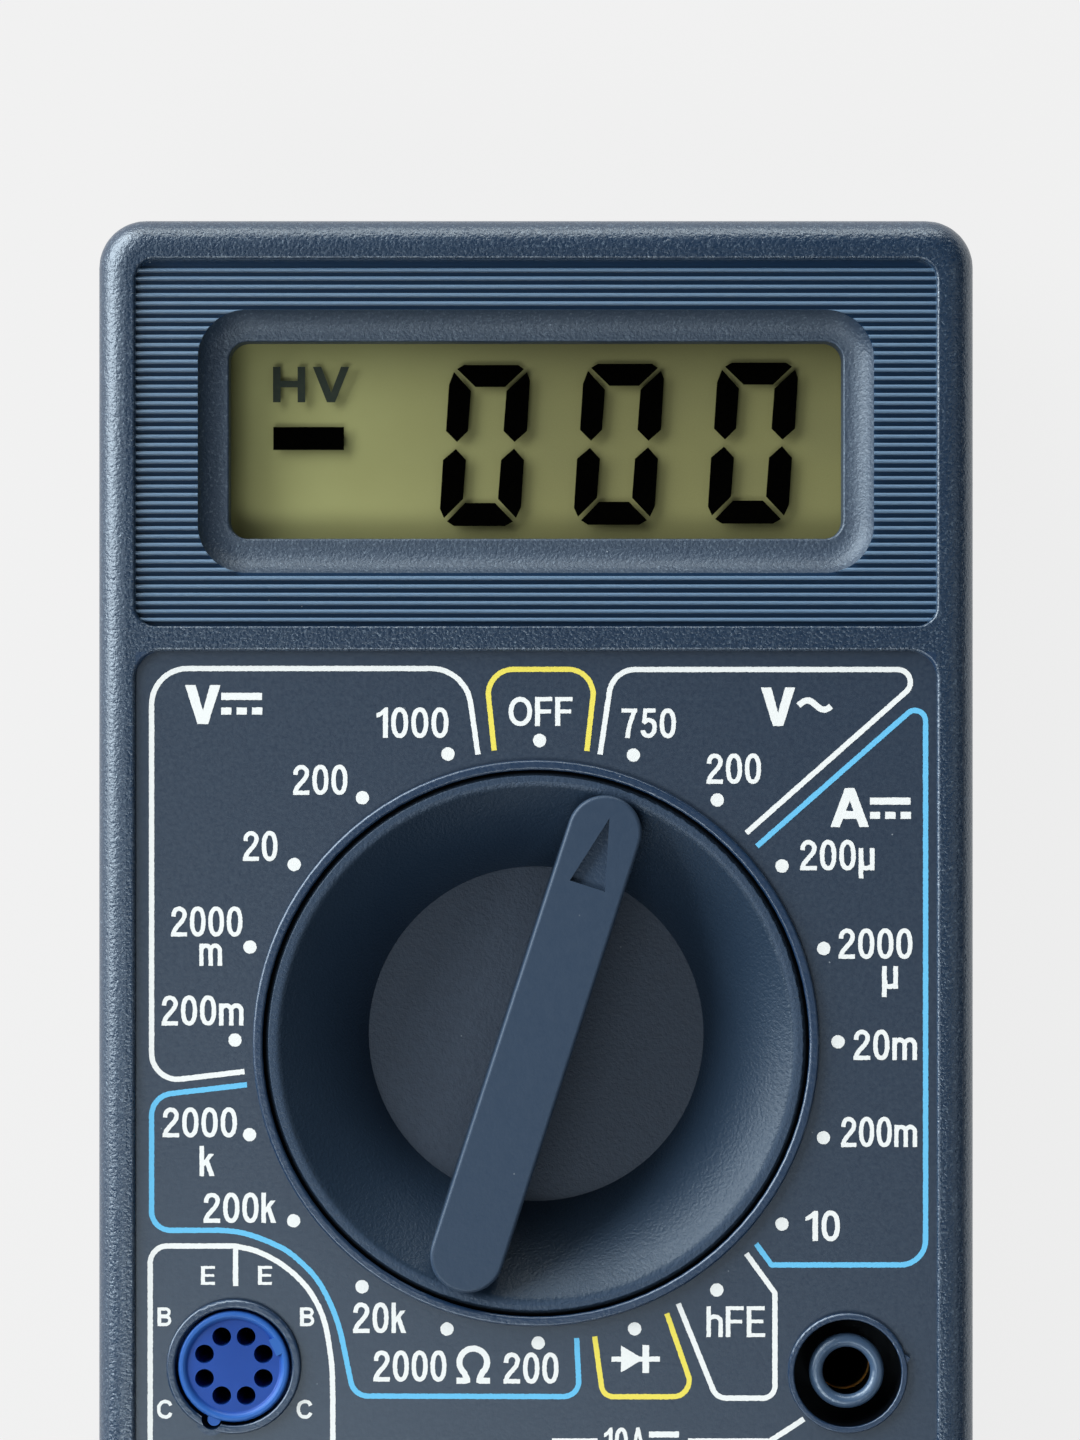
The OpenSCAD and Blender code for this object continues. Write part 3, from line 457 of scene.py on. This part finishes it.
# ---------------------------------------------------------------- flat shapes
def spline(pts, k=6):
    """A smooth line through the points."""
    out = []
    n = len(pts)
    for i in range(n - 1):
        p0, p1, p2, p3 = pts[max(i - 1, 0)], pts[i], pts[i + 1], pts[min(i + 2, n - 1)]
        for j in range(k):
            t = j / k
            out.append(tuple(
                0.5 * (2 * b + (c - a) * t + (2 * a - 5 * b + 4 * c - d) * t * t + (3 * b - a - 3 * c + d) * t ** 3)
                for a, b, c, d in zip(p0, p1, p2, p3)))
    out.append(tuple(pts[-1]))
    return out


def bend(pts):
    """A line with rounded corners: points are (x, y) or (x, y, radius)."""
    out = [tuple(pts[0][:2])]
    for i in range(1, len(pts) - 1):
        p = Vector(pts[i][:2])
        a = (Vector(pts[i - 1][:2]) - p).normalized()
        b = (Vector(pts[i + 1][:2]) - p).normalized()
        r = pts[i][2] if len(pts[i]) > 2 else 0.0
        ang = a.angle(b)
        if r <= 0 or ang > 3.1:
            out.append(tuple(p))
            continue
        cut = r / math.tan(ang / 2)
        centre = p + (a + b).normalized() * (r / math.sin(ang / 2))
        s, e = p + a * cut - centre, p + b * cut - centre
        turn = s.angle_signed(e)
        steps = max(4, int(abs(turn) * 8))
        base = math.atan2(s.y, s.x)
        for k in range(steps + 1):
            t = base - turn * k / steps
            out.append((centre.x + r * math.cos(t), centre.y + r * math.sin(t)))
    out.append(tuple(pts[-1][:2]))
    return out


def resample(pts, step):
    out = [Vector(pts[0])]
    for a, b in zip(pts, pts[1:]):
        a, b = Vector(a), Vector(b)
        n = max(1, int(math.ceil((b - a).length / step)))
        for k in range(1, n + 1):
            out.append(a.lerp(b, k / n))
    clean = [out[0]]
    for p in out[1:]:
        if (p - clean[-1]).length > step * 0.2:
            clean.append(p)
    return clean


ROUGH = 0.028


def ragged(x, y, seed):
    """How far the edge of the ink strays, in mm."""
    return ROUGH * (noise.noise((x * 6.5, y * 6.5, seed)) + 0.7 * noise.noise((x * 13.0, y * 13.0, seed + 7.1)))


def ribbon(pts, half, closed=False, step=0.11, rough=True):
    """Quads along a line, in mm."""
    p = resample(pts, step)
    if closed and (p[0] - p[-1]).length < step * 0.5:
        p = p[:-1]
    n = len(p)
    left, right = [], []
    for i in range(n):
        a = p[(i - 1) % n] if closed or i > 0 else p[0]
        b = p[(i + 1) % n] if closed or i < n - 1 else p[-1]
        d = (b - a).normalized()
        nrm = Vector((-d.y, d.x))
        jl = ragged(p[i].x, p[i].y, 1.3) if rough else 0.0
        jr = ragged(p[i].x, p[i].y, 4.9) if rough else 0.0
        left.append(p[i] + nrm * (half + jl))
        right.append(p[i] - nrm * (half + jr))
    quads = []
    for i in range(n if closed else n - 1):
        j = (i + 1) % n
        quads.append([right[i], right[j], left[j], left[i]])
    return quads


def outline(pts, step=0.11, rough=True):
    """A closed polygon with a slightly ragged edge, in mm."""
    loop = resample(list(pts) + [pts[0]], step)[:-1]
    if not rough:
        return [loop]
    return [[Vector((p.x + ragged(p.x, p.y, 2.2), p.y + ragged(p.x, p.y, 8.4))) for p in loop]]


def merge(polys):
    """The union of flat polygons as triangles."""
    verts, faces = [], []
    for poly in polys:
        area = sum(a.x * b.y - b.x * a.y for a, b in zip(poly, poly[1:] + poly[:1]))
        ring = poly if area > 0 else poly[::-1]
        faces.append(list(range(len(verts), len(verts) + len(ring))))
        verts.extend(ring)
    got = geometry.delaunay_2d_cdt(verts, [], faces, 1, 1e-5)
    return got[0], [f for f, src in zip(got[2], got[5]) if src]


def piece(name, mesh, mat, body, smooth=False):
    o = bpy.data.objects.new(name, mesh)
    scene.collection.objects.link(o)
    mesh.materials.clear()
    mesh.materials.append(mat.mat)
    if smooth:
        mesh.polygons.foreach_set("use_smooth", [True] * len(mesh.polygons))
    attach(o, body)
    return o


def slab(name, shapes, z0, z1, mat, body):
    """Thin closed solids from flat shapes, each shape a list of polygons in mm."""
    verts, faces = [], []
    for polys in shapes:
        v, f = merge(polys)
        if not f:
            continue
        base = len(verts)
        n = len(v)
        verts += [(p.x * MM, p.y * MM, z1 * MM) for p in v] + [(p.x * MM, p.y * MM, z0 * MM) for p in v]
        edges = set()
        for t in f:
            faces.append([base + i for i in t])
            faces.append([base + n + i for i in reversed(t)])
            for a, b in zip(t, list(t[1:]) + [t[0]]):
                edges.add((a, b))
        for a, b in edges:
            if (b, a) not in edges:
                faces.append([base + b, base + a, base + n + a, base + n + b])
    mesh = bpy.data.meshes.new(name)
    mesh.from_pydata(verts, [], faces)
    mesh.update()
    return piece(name, mesh, mat, body)


# ---------------------------------------------------------------- lettering
# Plain strokes on a unit height; width, then polygons and lines with their half width.
def oval(cx, cy, rx, ry, n=2.3, k=56):
    out = []
    for i in range(k):
        t = 2 * math.pi * i / k
        c, s = math.cos(t), math.sin(t)
        out.append((cx + rx * math.copysign(abs(c) ** (2 / n), c), cy + ry * math.copysign(abs(s) ** (2 / n), s)))
    return out + [out[0]]


def arc(cx, cy, rx, ry, a0, a1, k=18):
    return [(cx + rx * math.cos(math.radians(a0 + (a1 - a0) * i / k)),
             cy + ry * math.sin(math.radians(a0 + (a1 - a0) * i / k))) for i in range(k + 1)]


def box(x0, y0, x1, y1):
    return ("poly", [(x0, y0), (x1, y0), (x1, y1), (x0, y1)])


H = 0.073
GLYPH = {
    "0": (0.53, [("ring", oval(0.265, 0.5, 0.192, 0.43), H)]),
    "1": (0.36, [("poly", [(0.0, 0.665), (0.0, 0.80), (0.13, 0.875), (0.25, 1.0), (0.355, 1.0), (0.355, 0.0),
                           (0.2, 0.0), (0.2, 0.775), (0.1, 0.70)])]),
    "2": (0.545, [("line", spline([(0.083, 0.665), (0.1, 0.79), (0.17, 0.895), (0.275, 0.927), (0.385, 0.888),
                                   (0.452, 0.79), (0.455, 0.685), (0.4, 0.56), (0.3, 0.435), (0.19, 0.31),
                                   (0.11, 0.19), (0.082, 0.06)]), H),
                  box(0.0, 0.0, 0.542, 0.142)]),
    "5": (0.53, [box(0.1, 0.862, 0.49, 1.0), ("line", [(0.166, 0.96), (0.118, 0.5)], 0.066),
                 ("line", spline([(0.1, 0.5), (0.19, 0.59), (0.29, 0.61), (0.395, 0.56), (0.452, 0.455), (0.455, 0.33),
                                  (0.425, 0.19), (0.35, 0.1), (0.26, 0.075), (0.155, 0.11), (0.09, 0.21),
                                  (0.078, 0.265)]), H)]),
    "7": (0.53, [box(0.02, 0.862, 0.52, 1.0),
                 ("line", spline([(0.452, 0.94), (0.37, 0.74), (0.29, 0.48), (0.235, 0.24), (0.21, 0.0)]), H)]),
    "m": (0.8, [box(0.0, 0.0, 0.145, 0.735),
                ("line", arc(0.237, 0.5, 0.163, 0.165, 175, 0) + [(0.4, 0.0)], H),
                ("line", arc(0.563, 0.5, 0.163, 0.165, 175, 0) + [(0.726, 0.0)], H)]),
    "u": (0.51, [box(0.0, -0.265, 0.15, 0.735), box(0.36, 0.0, 0.51, 0.735),
                 ("line", spline([(0.09, 0.28), (0.12, 0.12), (0.21, 0.072), (0.32, 0.085), (0.43, 0.13)]), H)]),
    "k": (0.475, [box(0.0, 0.0, 0.145, 1.0), ("poly", [(0.29, 0.735), (0.46, 0.735), (0.13, 0.3), (0.13, 0.5)]),
                  ("poly", [(0.18, 0.42), (0.29, 0.54), (0.478, 0.0), (0.315, 0.0)])]),
    "O": (0.78, [("ring", oval(0.39, 0.5, 0.308, 0.422, 2.1), 0.081)]),
    "F": (0.57, [box(0.0, 0.0, 0.165, 1.0), box(0.08, 0.855, 0.57, 1.0), box(0.08, 0.435, 0.525, 0.575)]),
    "f": (0.55, [box(0.0, 0.0, 0.14, 1.0), box(0.08, 0.875, 0.55, 1.0), box(0.08, 0.445, 0.5, 0.565)]),
    "V": (0.92, [("poly", [(0, 1), (0.275, 1), (0.463, 0.34), (0.65, 1), (0.92, 1), (0.6, 0), (0.325, 0)])]),
    "A": (0.98, [("poly", [(0, 0), (0.24, 0), (0.61, 1.0), (0.37, 1.0)]),
                 ("poly", [(0.74, 0), (0.98, 0), (0.61, 1.0), (0.37, 1.0)]),
                 ("poly", [(0.2, 0.21), (0.78, 0.21), (0.72, 0.41), (0.26, 0.41)])]),
    "a": (0.66, [("poly", [(0, 0), (0.15, 0), (0.4, 1.0), (0.26, 1.0)]),
                 ("poly", [(0.51, 0), (0.66, 0), (0.4, 1.0), (0.26, 1.0)]),
                 ("poly", [(0.14, 0.27), (0.52, 0.27), (0.48, 0.4), (0.18, 0.4)])]),
    "h": (0.5, [box(0.0, 0.0, 0.135, 1.0), ("line", arc(0.25, 0.5, 0.183, 0.165, 178, 0) + [(0.433, 0.0)], 0.067)]),
    "E": (0.6, [box(0.0, 0.0, 0.17, 1.0), box(0.08, 0.85, 0.6, 1.0), box(0.08, 0.43, 0.56, 0.57),
                box(0.08, 0.0, 0.6, 0.15)]),
    "e": (0.56, [box(0.0, 0.0, 0.14, 1.0), box(0.08, 0.875, 0.55, 1.0), box(0.08, 0.45, 0.51, 0.565),
                 box(0.08, 0.0, 0.56, 0.125)]),
    "B": (0.68, [box(0.0, 0.0, 0.18, 1.0),
                 ("line", [(0.09, 0.925), (0.38, 0.925)] + arc(0.38, 0.735, 0.19, 0.19, 88, -88) + [(0.09, 0.545)], 0.08),
                 ("line", [(0.09, 0.51), (0.38, 0.51)] + arc(0.38, 0.295, 0.215, 0.215, 88, -88) + [(0.09, 0.08)], 0.08)]),
    "C": (0.74, [("line", spline([(0.635, 0.7), (0.56, 0.85), (0.4, 0.92), (0.22, 0.86), (0.105, 0.69), (0.085, 0.5),
                                  (0.105, 0.31), (0.22, 0.14), (0.4, 0.08), (0.56, 0.15), (0.64, 0.31)]), 0.085)]),
    "M": (0.86, [box(0.0, 0.0, 0.16, 1.0), box(0.7, 0.0, 0.86, 1.0),
                 ("poly", [(0.0, 1.0), (0.2, 1.0), (0.5, 0.0), (0.36, 0.0)]),
                 ("poly", [(0.66, 1.0), (0.86, 1.0), (0.5, 0.0), (0.36, 0.0)])]),
    "v": (0.68, [("poly", [(0, 1), (0.16, 1), (0.34, 0.24), (0.52, 1), (0.68, 1), (0.41, 0), (0.27, 0)])]),
    "W": (0.9, [("line", [(0.0, 0.075), (0.3, 0.075), (0.25, 0.19)] + arc(0.45, 0.56, 0.37, 0.36, 228, -48, 40)
                 + [(0.65, 0.19), (0.6, 0.075), (0.9, 0.075)], 0.08)]),
    " ": (0.25, []),
}
GAP = 0.093


def text(word, x0, x1, y0, y1, z):
    """Shapes for a word that fills the box x0..x1, y0..y1 of the picture, on the plane at height z."""
    total = sum(GLYPH[c][0] for c in word) + GAP * (len(word) - 1)
    s = F_PX / (EYE_Z - z)
    up = (y1 - y0) / s
    wide = (x1 - x0) / s / total
    bx, by = at(x0, y1, z)
    shapes = []
    pen = 0.0
    for c in word:
        w, parts = GLYPH[c]
        polys = []
        for p in parts:
            pts = [(bx + (pen + q[0]) * wide, by + q[1] * up) for q in p[1]]
            if p[0] == "poly":
                polys += outline(pts)
            else:
                polys += ribbon(pts, p[2] * 0.5 * (up + wide), closed=p[0] == "ring")
        if polys:
            shapes.append(polys)
        pen += w + GAP
    return shapes


def rule(pts, half_px, z):
    s = F_PX / (EYE_Z - z)
    return ribbon([at(x, y, z) for x, y in pts], half_px / s)


def patch(pts, z):
    return outline([at(x, y, z) for x, y in pts])


def bars(x0, x1, y0, y1, z):
    """The sign for direct current: a bar over three dashes."""
    h = (y1 - y0) * 0.33
    w = (x1 - x0)
    out = [patch([(x0, y0), (x1, y0), (x1, y0 + h), (x0, y0 + h)], z)]
    for a, b in ((0.0, 0.25), (0.375, 0.63), (0.755, 1.01)):
        out.append(patch([(x0 + a * w, y1 - h), (x0 + b * w, y1 - h), (x0 + b * w, y1), (x0 + a * w, y1)], z))
    return out


Z = 26.5
white, yellow, blue = [], [], []

# field outlines
LINE = 2.65
white.append(rule(bend([(478, 754.5), (465.6, 668.5, 40), (151.6, 668.5, 36), (151.6, 1082.6, 26), (244.5, 1071.5)]), LINE, Z))
yellow.append(rule(bend([(494.2, 750.5), (485.5, 669.3, 25), (596.1, 669.3, 25), (586.8, 751)]), 2.6, Z))
white.append(rule(bend([(600, 754.5), (612.8, 669.5, 26), (931.2, 669.5, 12.7), (746.3, 833)]), LINE, Z))
blue.append(rule(bend([(756.9, 846.3), (925.6, 697.6, 10.6), (925.6, 1264.9, 25), (771.5, 1264.9, 3), (756.1, 1243.8)]), LINE, Z))
sweep = spline([(220.7, 1230.3), (240, 1232.3), (257, 1237.3), (275, 1244.6), (290.8, 1253.6), (313.3, 1274.7),
                (327.3, 1297.1), (338.5, 1325.2), (346, 1358)])
blue.append(rule(bend([(247, 1084.7), (151.6, 1095.8, 22), (151.6, 1230.3, 19), (220.7, 1230.3)]) + sweep[1:]
                 + bend([(346, 1358), (354, 1396, 17), (579.5, 1396.6, 15), (576.6, 1338)])[1:], LINE, Z))
yellow.append(rule(bend([(594.7, 1336.4), (603, 1396.7, 12), (695.6, 1396.7, 16), (666.8, 1313.4)]), 2.6, Z))
white.append(rule(bend([(746.3, 1253.6), (774.9, 1292.9, 2), (774.9, 1398.1, 12), (716.5, 1398.1, 14), (678.3, 1303.6)]), LINE, Z))
hood = spline([(234.7, 1246), (257.1, 1251.4), (282.6, 1264.9), (304.4, 1284.5), (317.3, 1304.1), (325, 1323.8),
               (329.3, 1346.2), (332, 1368.7), (332.8, 1396.7)])
white.append(rule(bend([(240, 1478), (150.2, 1478, 17), (150.2, 1246, 17), (234.7, 1246)]) + hood[1:]
                  + bend([(332.8, 1396.7), (332.8, 1478, 17), (240, 1478)])[1:], LINE, Z)
             + rule([(235.6, 1246), (235.6, 1286)], LINE, Z))

# switch positions
for px, py in ((539.6, 740.5), (633.4, 755), (717.3, 800), (782, 866), (823.7, 948.5), (838, 1041.8), (823.4, 1137.7),
               (782, 1224), (716.8, 1290), (634.6, 1328.8), (538.2, 1343), (447, 1329), (362, 1286.7), (293.6, 1220.8),
               (249.6, 1134.6), (235, 1040), (250, 947), (294.3, 864.5), (362.4, 797.7), (448, 754)):
    cx, cy = at(px, py, Z)
    white.append(outline([(cx + 0.53 * math.cos(a * math.pi / 20), cy + 0.53 * math.sin(a * math.pi / 20)) for a in range(40)],
                         step=0.08))

# figures and units
for word, x0, x1, y0, y1 in (
    ("1000", 376.5, 448.5, 707.5, 737.8), ("200", 293, 347.5, 764.8, 794.8), ("20", 243, 277.5, 831, 861),
    ("2000", 171, 242.5, 906.5, 936.5), ("m", 199.3, 222, 935.5, 965.8), ("200m", 161.5, 243.5, 995.5, 1025.5),
    ("OFF", 508.5, 572.5, 697, 726), ("750", 621, 676, 708.5, 738), ("200", 706.5, 761, 753.5, 783.8),
    ("200u", 800, 874.5, 840, 870.3), ("2000", 838.5, 912.5, 928.5, 958.8), ("u", 882, 898, 958, 988.8),
    ("20m", 853.5, 917, 1029.7, 1060), ("200m", 841, 917, 1116.8, 1147), ("10", 805.5, 840, 1210.8, 1241),
    ("2000", 162.5, 237, 1107.5, 1137.3), ("k", 199.5, 214.5, 1146, 1176), ("200k", 203.5, 276, 1192.7, 1222.8),
    ("20k", 353, 406, 1302.5, 1333), ("2000", 373.5, 446.5, 1350.5, 1381.5), ("W", 456.5, 490, 1345.5, 1383.5),
    ("200", 503.5, 558.5, 1352.5, 1383.5), ("hfe", 706.5, 765, 1306.3, 1337),
    ("V", 185, 220.5, 685, 724), ("V", 761, 795, 687.5, 726), ("A", 830.5, 869, 788, 827),
    ("E", 201, 215, 1266, 1284.8), ("E", 258, 272, 1266, 1284.8), ("B", 157.5, 171.5, 1307.5, 1326),
    ("B", 300, 314.5, 1307.5, 1326), ("C", 157, 173, 1400, 1418.5), ("C", 296.5, 313, 1400, 1418.5),
    ("10a", 604, 646, 1427.5, 1457),
):
    white += text(word, x0, x1, y0, y1, Z)
white += bars(221.2, 262, 692.8, 714.6, Z)
white += bars(870, 910.5, 797.6, 818.8, Z)
white += bars(649, 679, 1431.5, 1449.5, Z)
wave = [(798.5 + 32.5 * i / 24, 705 - 4.6 * math.sin(2 * math.pi * (i / 24) * 0.98 - 0.12)) for i in range(25)]
white.append(rule(wave, 3.1, Z))
# diode sign
white.append(patch([(611.5, 1356.6), (660, 1356.6), (660, 1361.6), (611.5, 1361.6)], Z)
             + patch([(621, 1345.5), (643.5, 1359), (621, 1372.5)], Z)
             + patch([(642.5, 1345), (649, 1345), (649, 1373), (642.5, 1373)], Z))
# lead lines to the sockets
white.append(rule([(552, 1441), (597.5, 1441)], LINE, Z))
white.append(rule(bend([(688, 1441), (770, 1441, 3), (804, 1419)]), LINE, Z))

print_white = slab("dial_print_white", white, Z - 0.004, Z + 0.016, mat_white, "case")
print_yellow = slab("dial_print_yellow", yellow, Z - 0.004, Z + 0.016, mat_yellow, "case")
print_blue = slab("dial_print_blue", blue, Z - 0.004, Z + 0.016, mat_blue, "case")

# ---------------------------------------------------------------- display
lo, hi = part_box("lcd_panel")
LCD_Z = 21.5
SEG_Z = 22.1


def block(name, x0, x1, y0, y1, z0, z1, edge, mat, body):
    """A rectangular plate with chamfered edges."""
    v, f = [], []
    c = edge
    loops = [(z0, c), (z0 + c, 0), (z1 - c, 0), (z1, c)]
    for z, i in loops:
        r = c + i
        for x, y in ((x0 + r, y0 + i), (x1 - r, y0 + i), (x1 - i, y0 + r), (x1 - i, y1 - r),
                     (x1 - r, y1 - i), (x0 + r, y1 - i), (x0 + i, y1 - r), (x0 + i, y0 + r)):
            v.append((x, y, z))
    n = 8
    for k in range(3):
        for j in range(n):
            a, b = k * n + j, k * n + (j + 1) % n
            f.append((a, b, b + n, a + n))
    f.append(tuple(range(n - 1, -1, -1)))
    f.append(tuple(range(3 * n, 4 * n)))
    mesh = bpy.data.meshes.new(name)
    mesh.from_pydata(v, [], f)
    mesh.update()
    return piece(name, mesh, mat, body)


lcd = block("lcd_reflector", lo.x, hi.x, lo.y + 0.002, hi.y - 0.002, lo.z, LCD_Z * MM, 0.00012, mat_lcd, "case")
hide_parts("lcd_panel")

segments, marks = [], []
DIGIT = [
    [(457, 369), (464, 365), (518, 365), (524, 369), (505, 387), (475.5, 387)],
    [(454, 372), (471, 391), (468, 431), (457, 442), (446, 431), (449, 385)],
    [(527, 372), (530, 380), (527, 431), (514.5, 442), (503.5, 431), (506.5, 391)],
    [(456, 449), (466, 460), (463, 499), (444, 518), (440, 509), (443, 460)],
    [(514, 448.5), (524, 460), (521, 507), (516, 518), (498, 499), (501, 460)],
    [(447, 521.5), (465, 503), (495, 503), (513, 521.5), (505, 526), (454, 526)],
]
for d in range(3):
    for seg in DIGIT:
        segments.append([[Vector(at(x + 134.0 * d, y - 1.2 * d, SEG_Z)) for x, y in seg]])
segments.append([[Vector(at(x, y, SEG_Z)) for x, y in ((273.3, 427), (344, 427), (344, 450), (273.3, 450))]])
marks.append([[Vector(at(x, y, SEG_Z)) for x, y in q] for q in (
    ((273, 366.8), (280.6, 366.8), (280.6, 402.3), (273, 402.3)),
    ((297.6, 366.8), (305.2, 366.8), (305.2, 402.3), (297.6, 402.3)),
    ((278, 380.8), (300, 380.8), (300, 387.4), (278, 387.4)))])
marks.append([[Vector(at(x, y, SEG_Z)) for x, y in
               ((312.8, 366.8), (321.2, 366.8), (331.2, 392.5), (341, 366.8), (349.2, 366.8), (335, 402.3), (327, 402.3))]])
slab("lcd_digits", segments, SEG_Z - 0.012, SEG_Z + 0.012, mat_seg, "case")
slab("lcd_marks", marks, SEG_Z - 0.012, SEG_Z + 0.012, mat_mark, "case")

# ---------------------------------------------------------------- detent springs
def coil(name, node, ball_node):
    """A compression spring with closed ends, from its pocket's floor to the ball; it shortens as the ball is pressed."""
    ca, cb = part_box(ball_node)
    cx, cy, cz = (ca.x + cb.x) / 2, (ca.y + cb.y) / 2, (ca.z + cb.z) / 2
    wire, rad = 0.18 * MM, 1.1 * MM
    reach = (cb.z - ca.z) / 2 + wire + 0.02 * MM
    z0, z1 = 16.5 * MM + wire + 0.02 * MM, cz - math.sqrt(reach * reach - rad * rad)
    steps, sides, turns, end = 160, 10, 4.0, 0.75
    pitch = 0.38 * MM
    rise = (z1 - z0 - 2 * end * pitch) / (turns - 2 * end)
    verts, faces = [], []
    for i in range(steps + 1):
        t = turns * i / steps
        h = pitch * min(t, end) + rise * min(max(t - end, 0.0), turns - 2 * end) + pitch * max(t - turns + end, 0.0)
        u = 2 * math.pi * t
        out = Vector((math.cos(u), math.sin(u), 0.0))
        mid = Vector((cx, cy, z0 + h)) + out * rad
        for k in range(sides):
            w = 2 * math.pi * k / sides
            verts.append(tuple(mid + out * (wire * math.cos(w)) + Vector((0, 0, wire * math.sin(w)))))
    for i in range(steps):
        for k in range(sides):
            p, q = i * sides + k, i * sides + (k + 1) % sides
            faces.append((p, p + sides, q + sides, q))
    faces.append(tuple(range(sides)))
    faces.append(tuple(range((steps + 1) * sides - 1, steps * sides - 1, -1)))
    mesh = bpy.data.meshes.new(name)
    mesh.from_pydata(verts, [], faces)
    mesh.update()
    mesh.materials.append(mat_steel.mat)
    mesh.polygons.foreach_set("use_smooth", [len(f) == 4 for f in faces])
    o = bpy.data.objects.new(name, mesh)
    scene.collection.objects.link(o)
    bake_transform(o)
    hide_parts(node)
    return o


coil("detent_coil_upper", "detent_spring_upper", "detent_ball_upper")
coil("detent_coil_lower", "detent_spring_lower", "detent_ball_lower")

# ---------------------------------------------------------------- floor and light
floor_mesh = bpy.data.meshes.new("floor")
floor_mesh.from_pydata([(-6, -6, 0), (6, -6, 0), (6, 6, 0), (-6, 6, 0)], [], [(0, 1, 2, 3)])
floor = bpy.data.objects.new("floor", floor_mesh)
scene.collection.objects.link(floor)
floor.location.z = -0.0002
mf = Mat("floor_pale", rough=0.8, spec=0.1)
mf.set("Base Color", mf.mix(mf.span(mf.noise(60.0, 2.0, 0.5), 0.3, 0.7, 0.0, 1.0), (0.028, 0.028, 0.028, 1), (0.032, 0.032, 0.032, 1)))
mf.set("Emission Color", (1, 1, 1, 1))
mf.set("Emission Strength", 0.833)
floor_mesh.materials.append(mf.mat)


def lamp(name, loc, aim, sx, sy, watts, colour=(1, 1, 1)):
    d = bpy.data.lights.new(name, "AREA")
    d.shape = "RECTANGLE"
    d.size, d.size_y = sx, sy
    d.energy = watts
    d.color = colour
    o = bpy.data.objects.new(name, d)
    scene.collection.objects.link(o)
    o.location = loc
    o.rotation_euler = (Vector(aim) - Vector(loc)).to_track_quat("-Z", "Y").to_euler()
    return o


lamp("key_box", (-0.80, 0.52, 1.30), (0, 0.0, 0.02), 1.0, 1.0, 4.2)
lamp("left_wide", (-1.55, 0.92, 0.74), (0, 0.02, 0.02), 2.4, 1.3, 81.0)
lamp("top_strip", (-0.10, 1.95, 0.56), (0, 0.03, 0.02), 2.2, 0.58, 23.0, (1.0, 0.95, 0.88))
lamp("front_box", (-0.34, -0.76, 1.40), (0, 0.0, 0.02), 0.9, 0.6, 9.5)
lamp("front_low", (-0.30, -1.75, 0.46), (0, 0.0, 0.02), 1.8, 0.32, 4.0)
lamp("right_box", (1.00, -0.20, 1.22), (0, 0.0, 0.02), 1.0, 1.0, 1.8)

world = bpy.data.worlds.new("world")
scene.world = world
world.use_nodes = True
bg = world.node_tree.nodes["Background"]
bg.inputs[0].default_value = (0.9, 0.95, 1.0, 1)
bg.inputs[1].default_value = 0.03

scene.view_settings.view_transform = "Standard"
scene.view_settings.look = "None"
scene.view_settings.exposure = 0.0
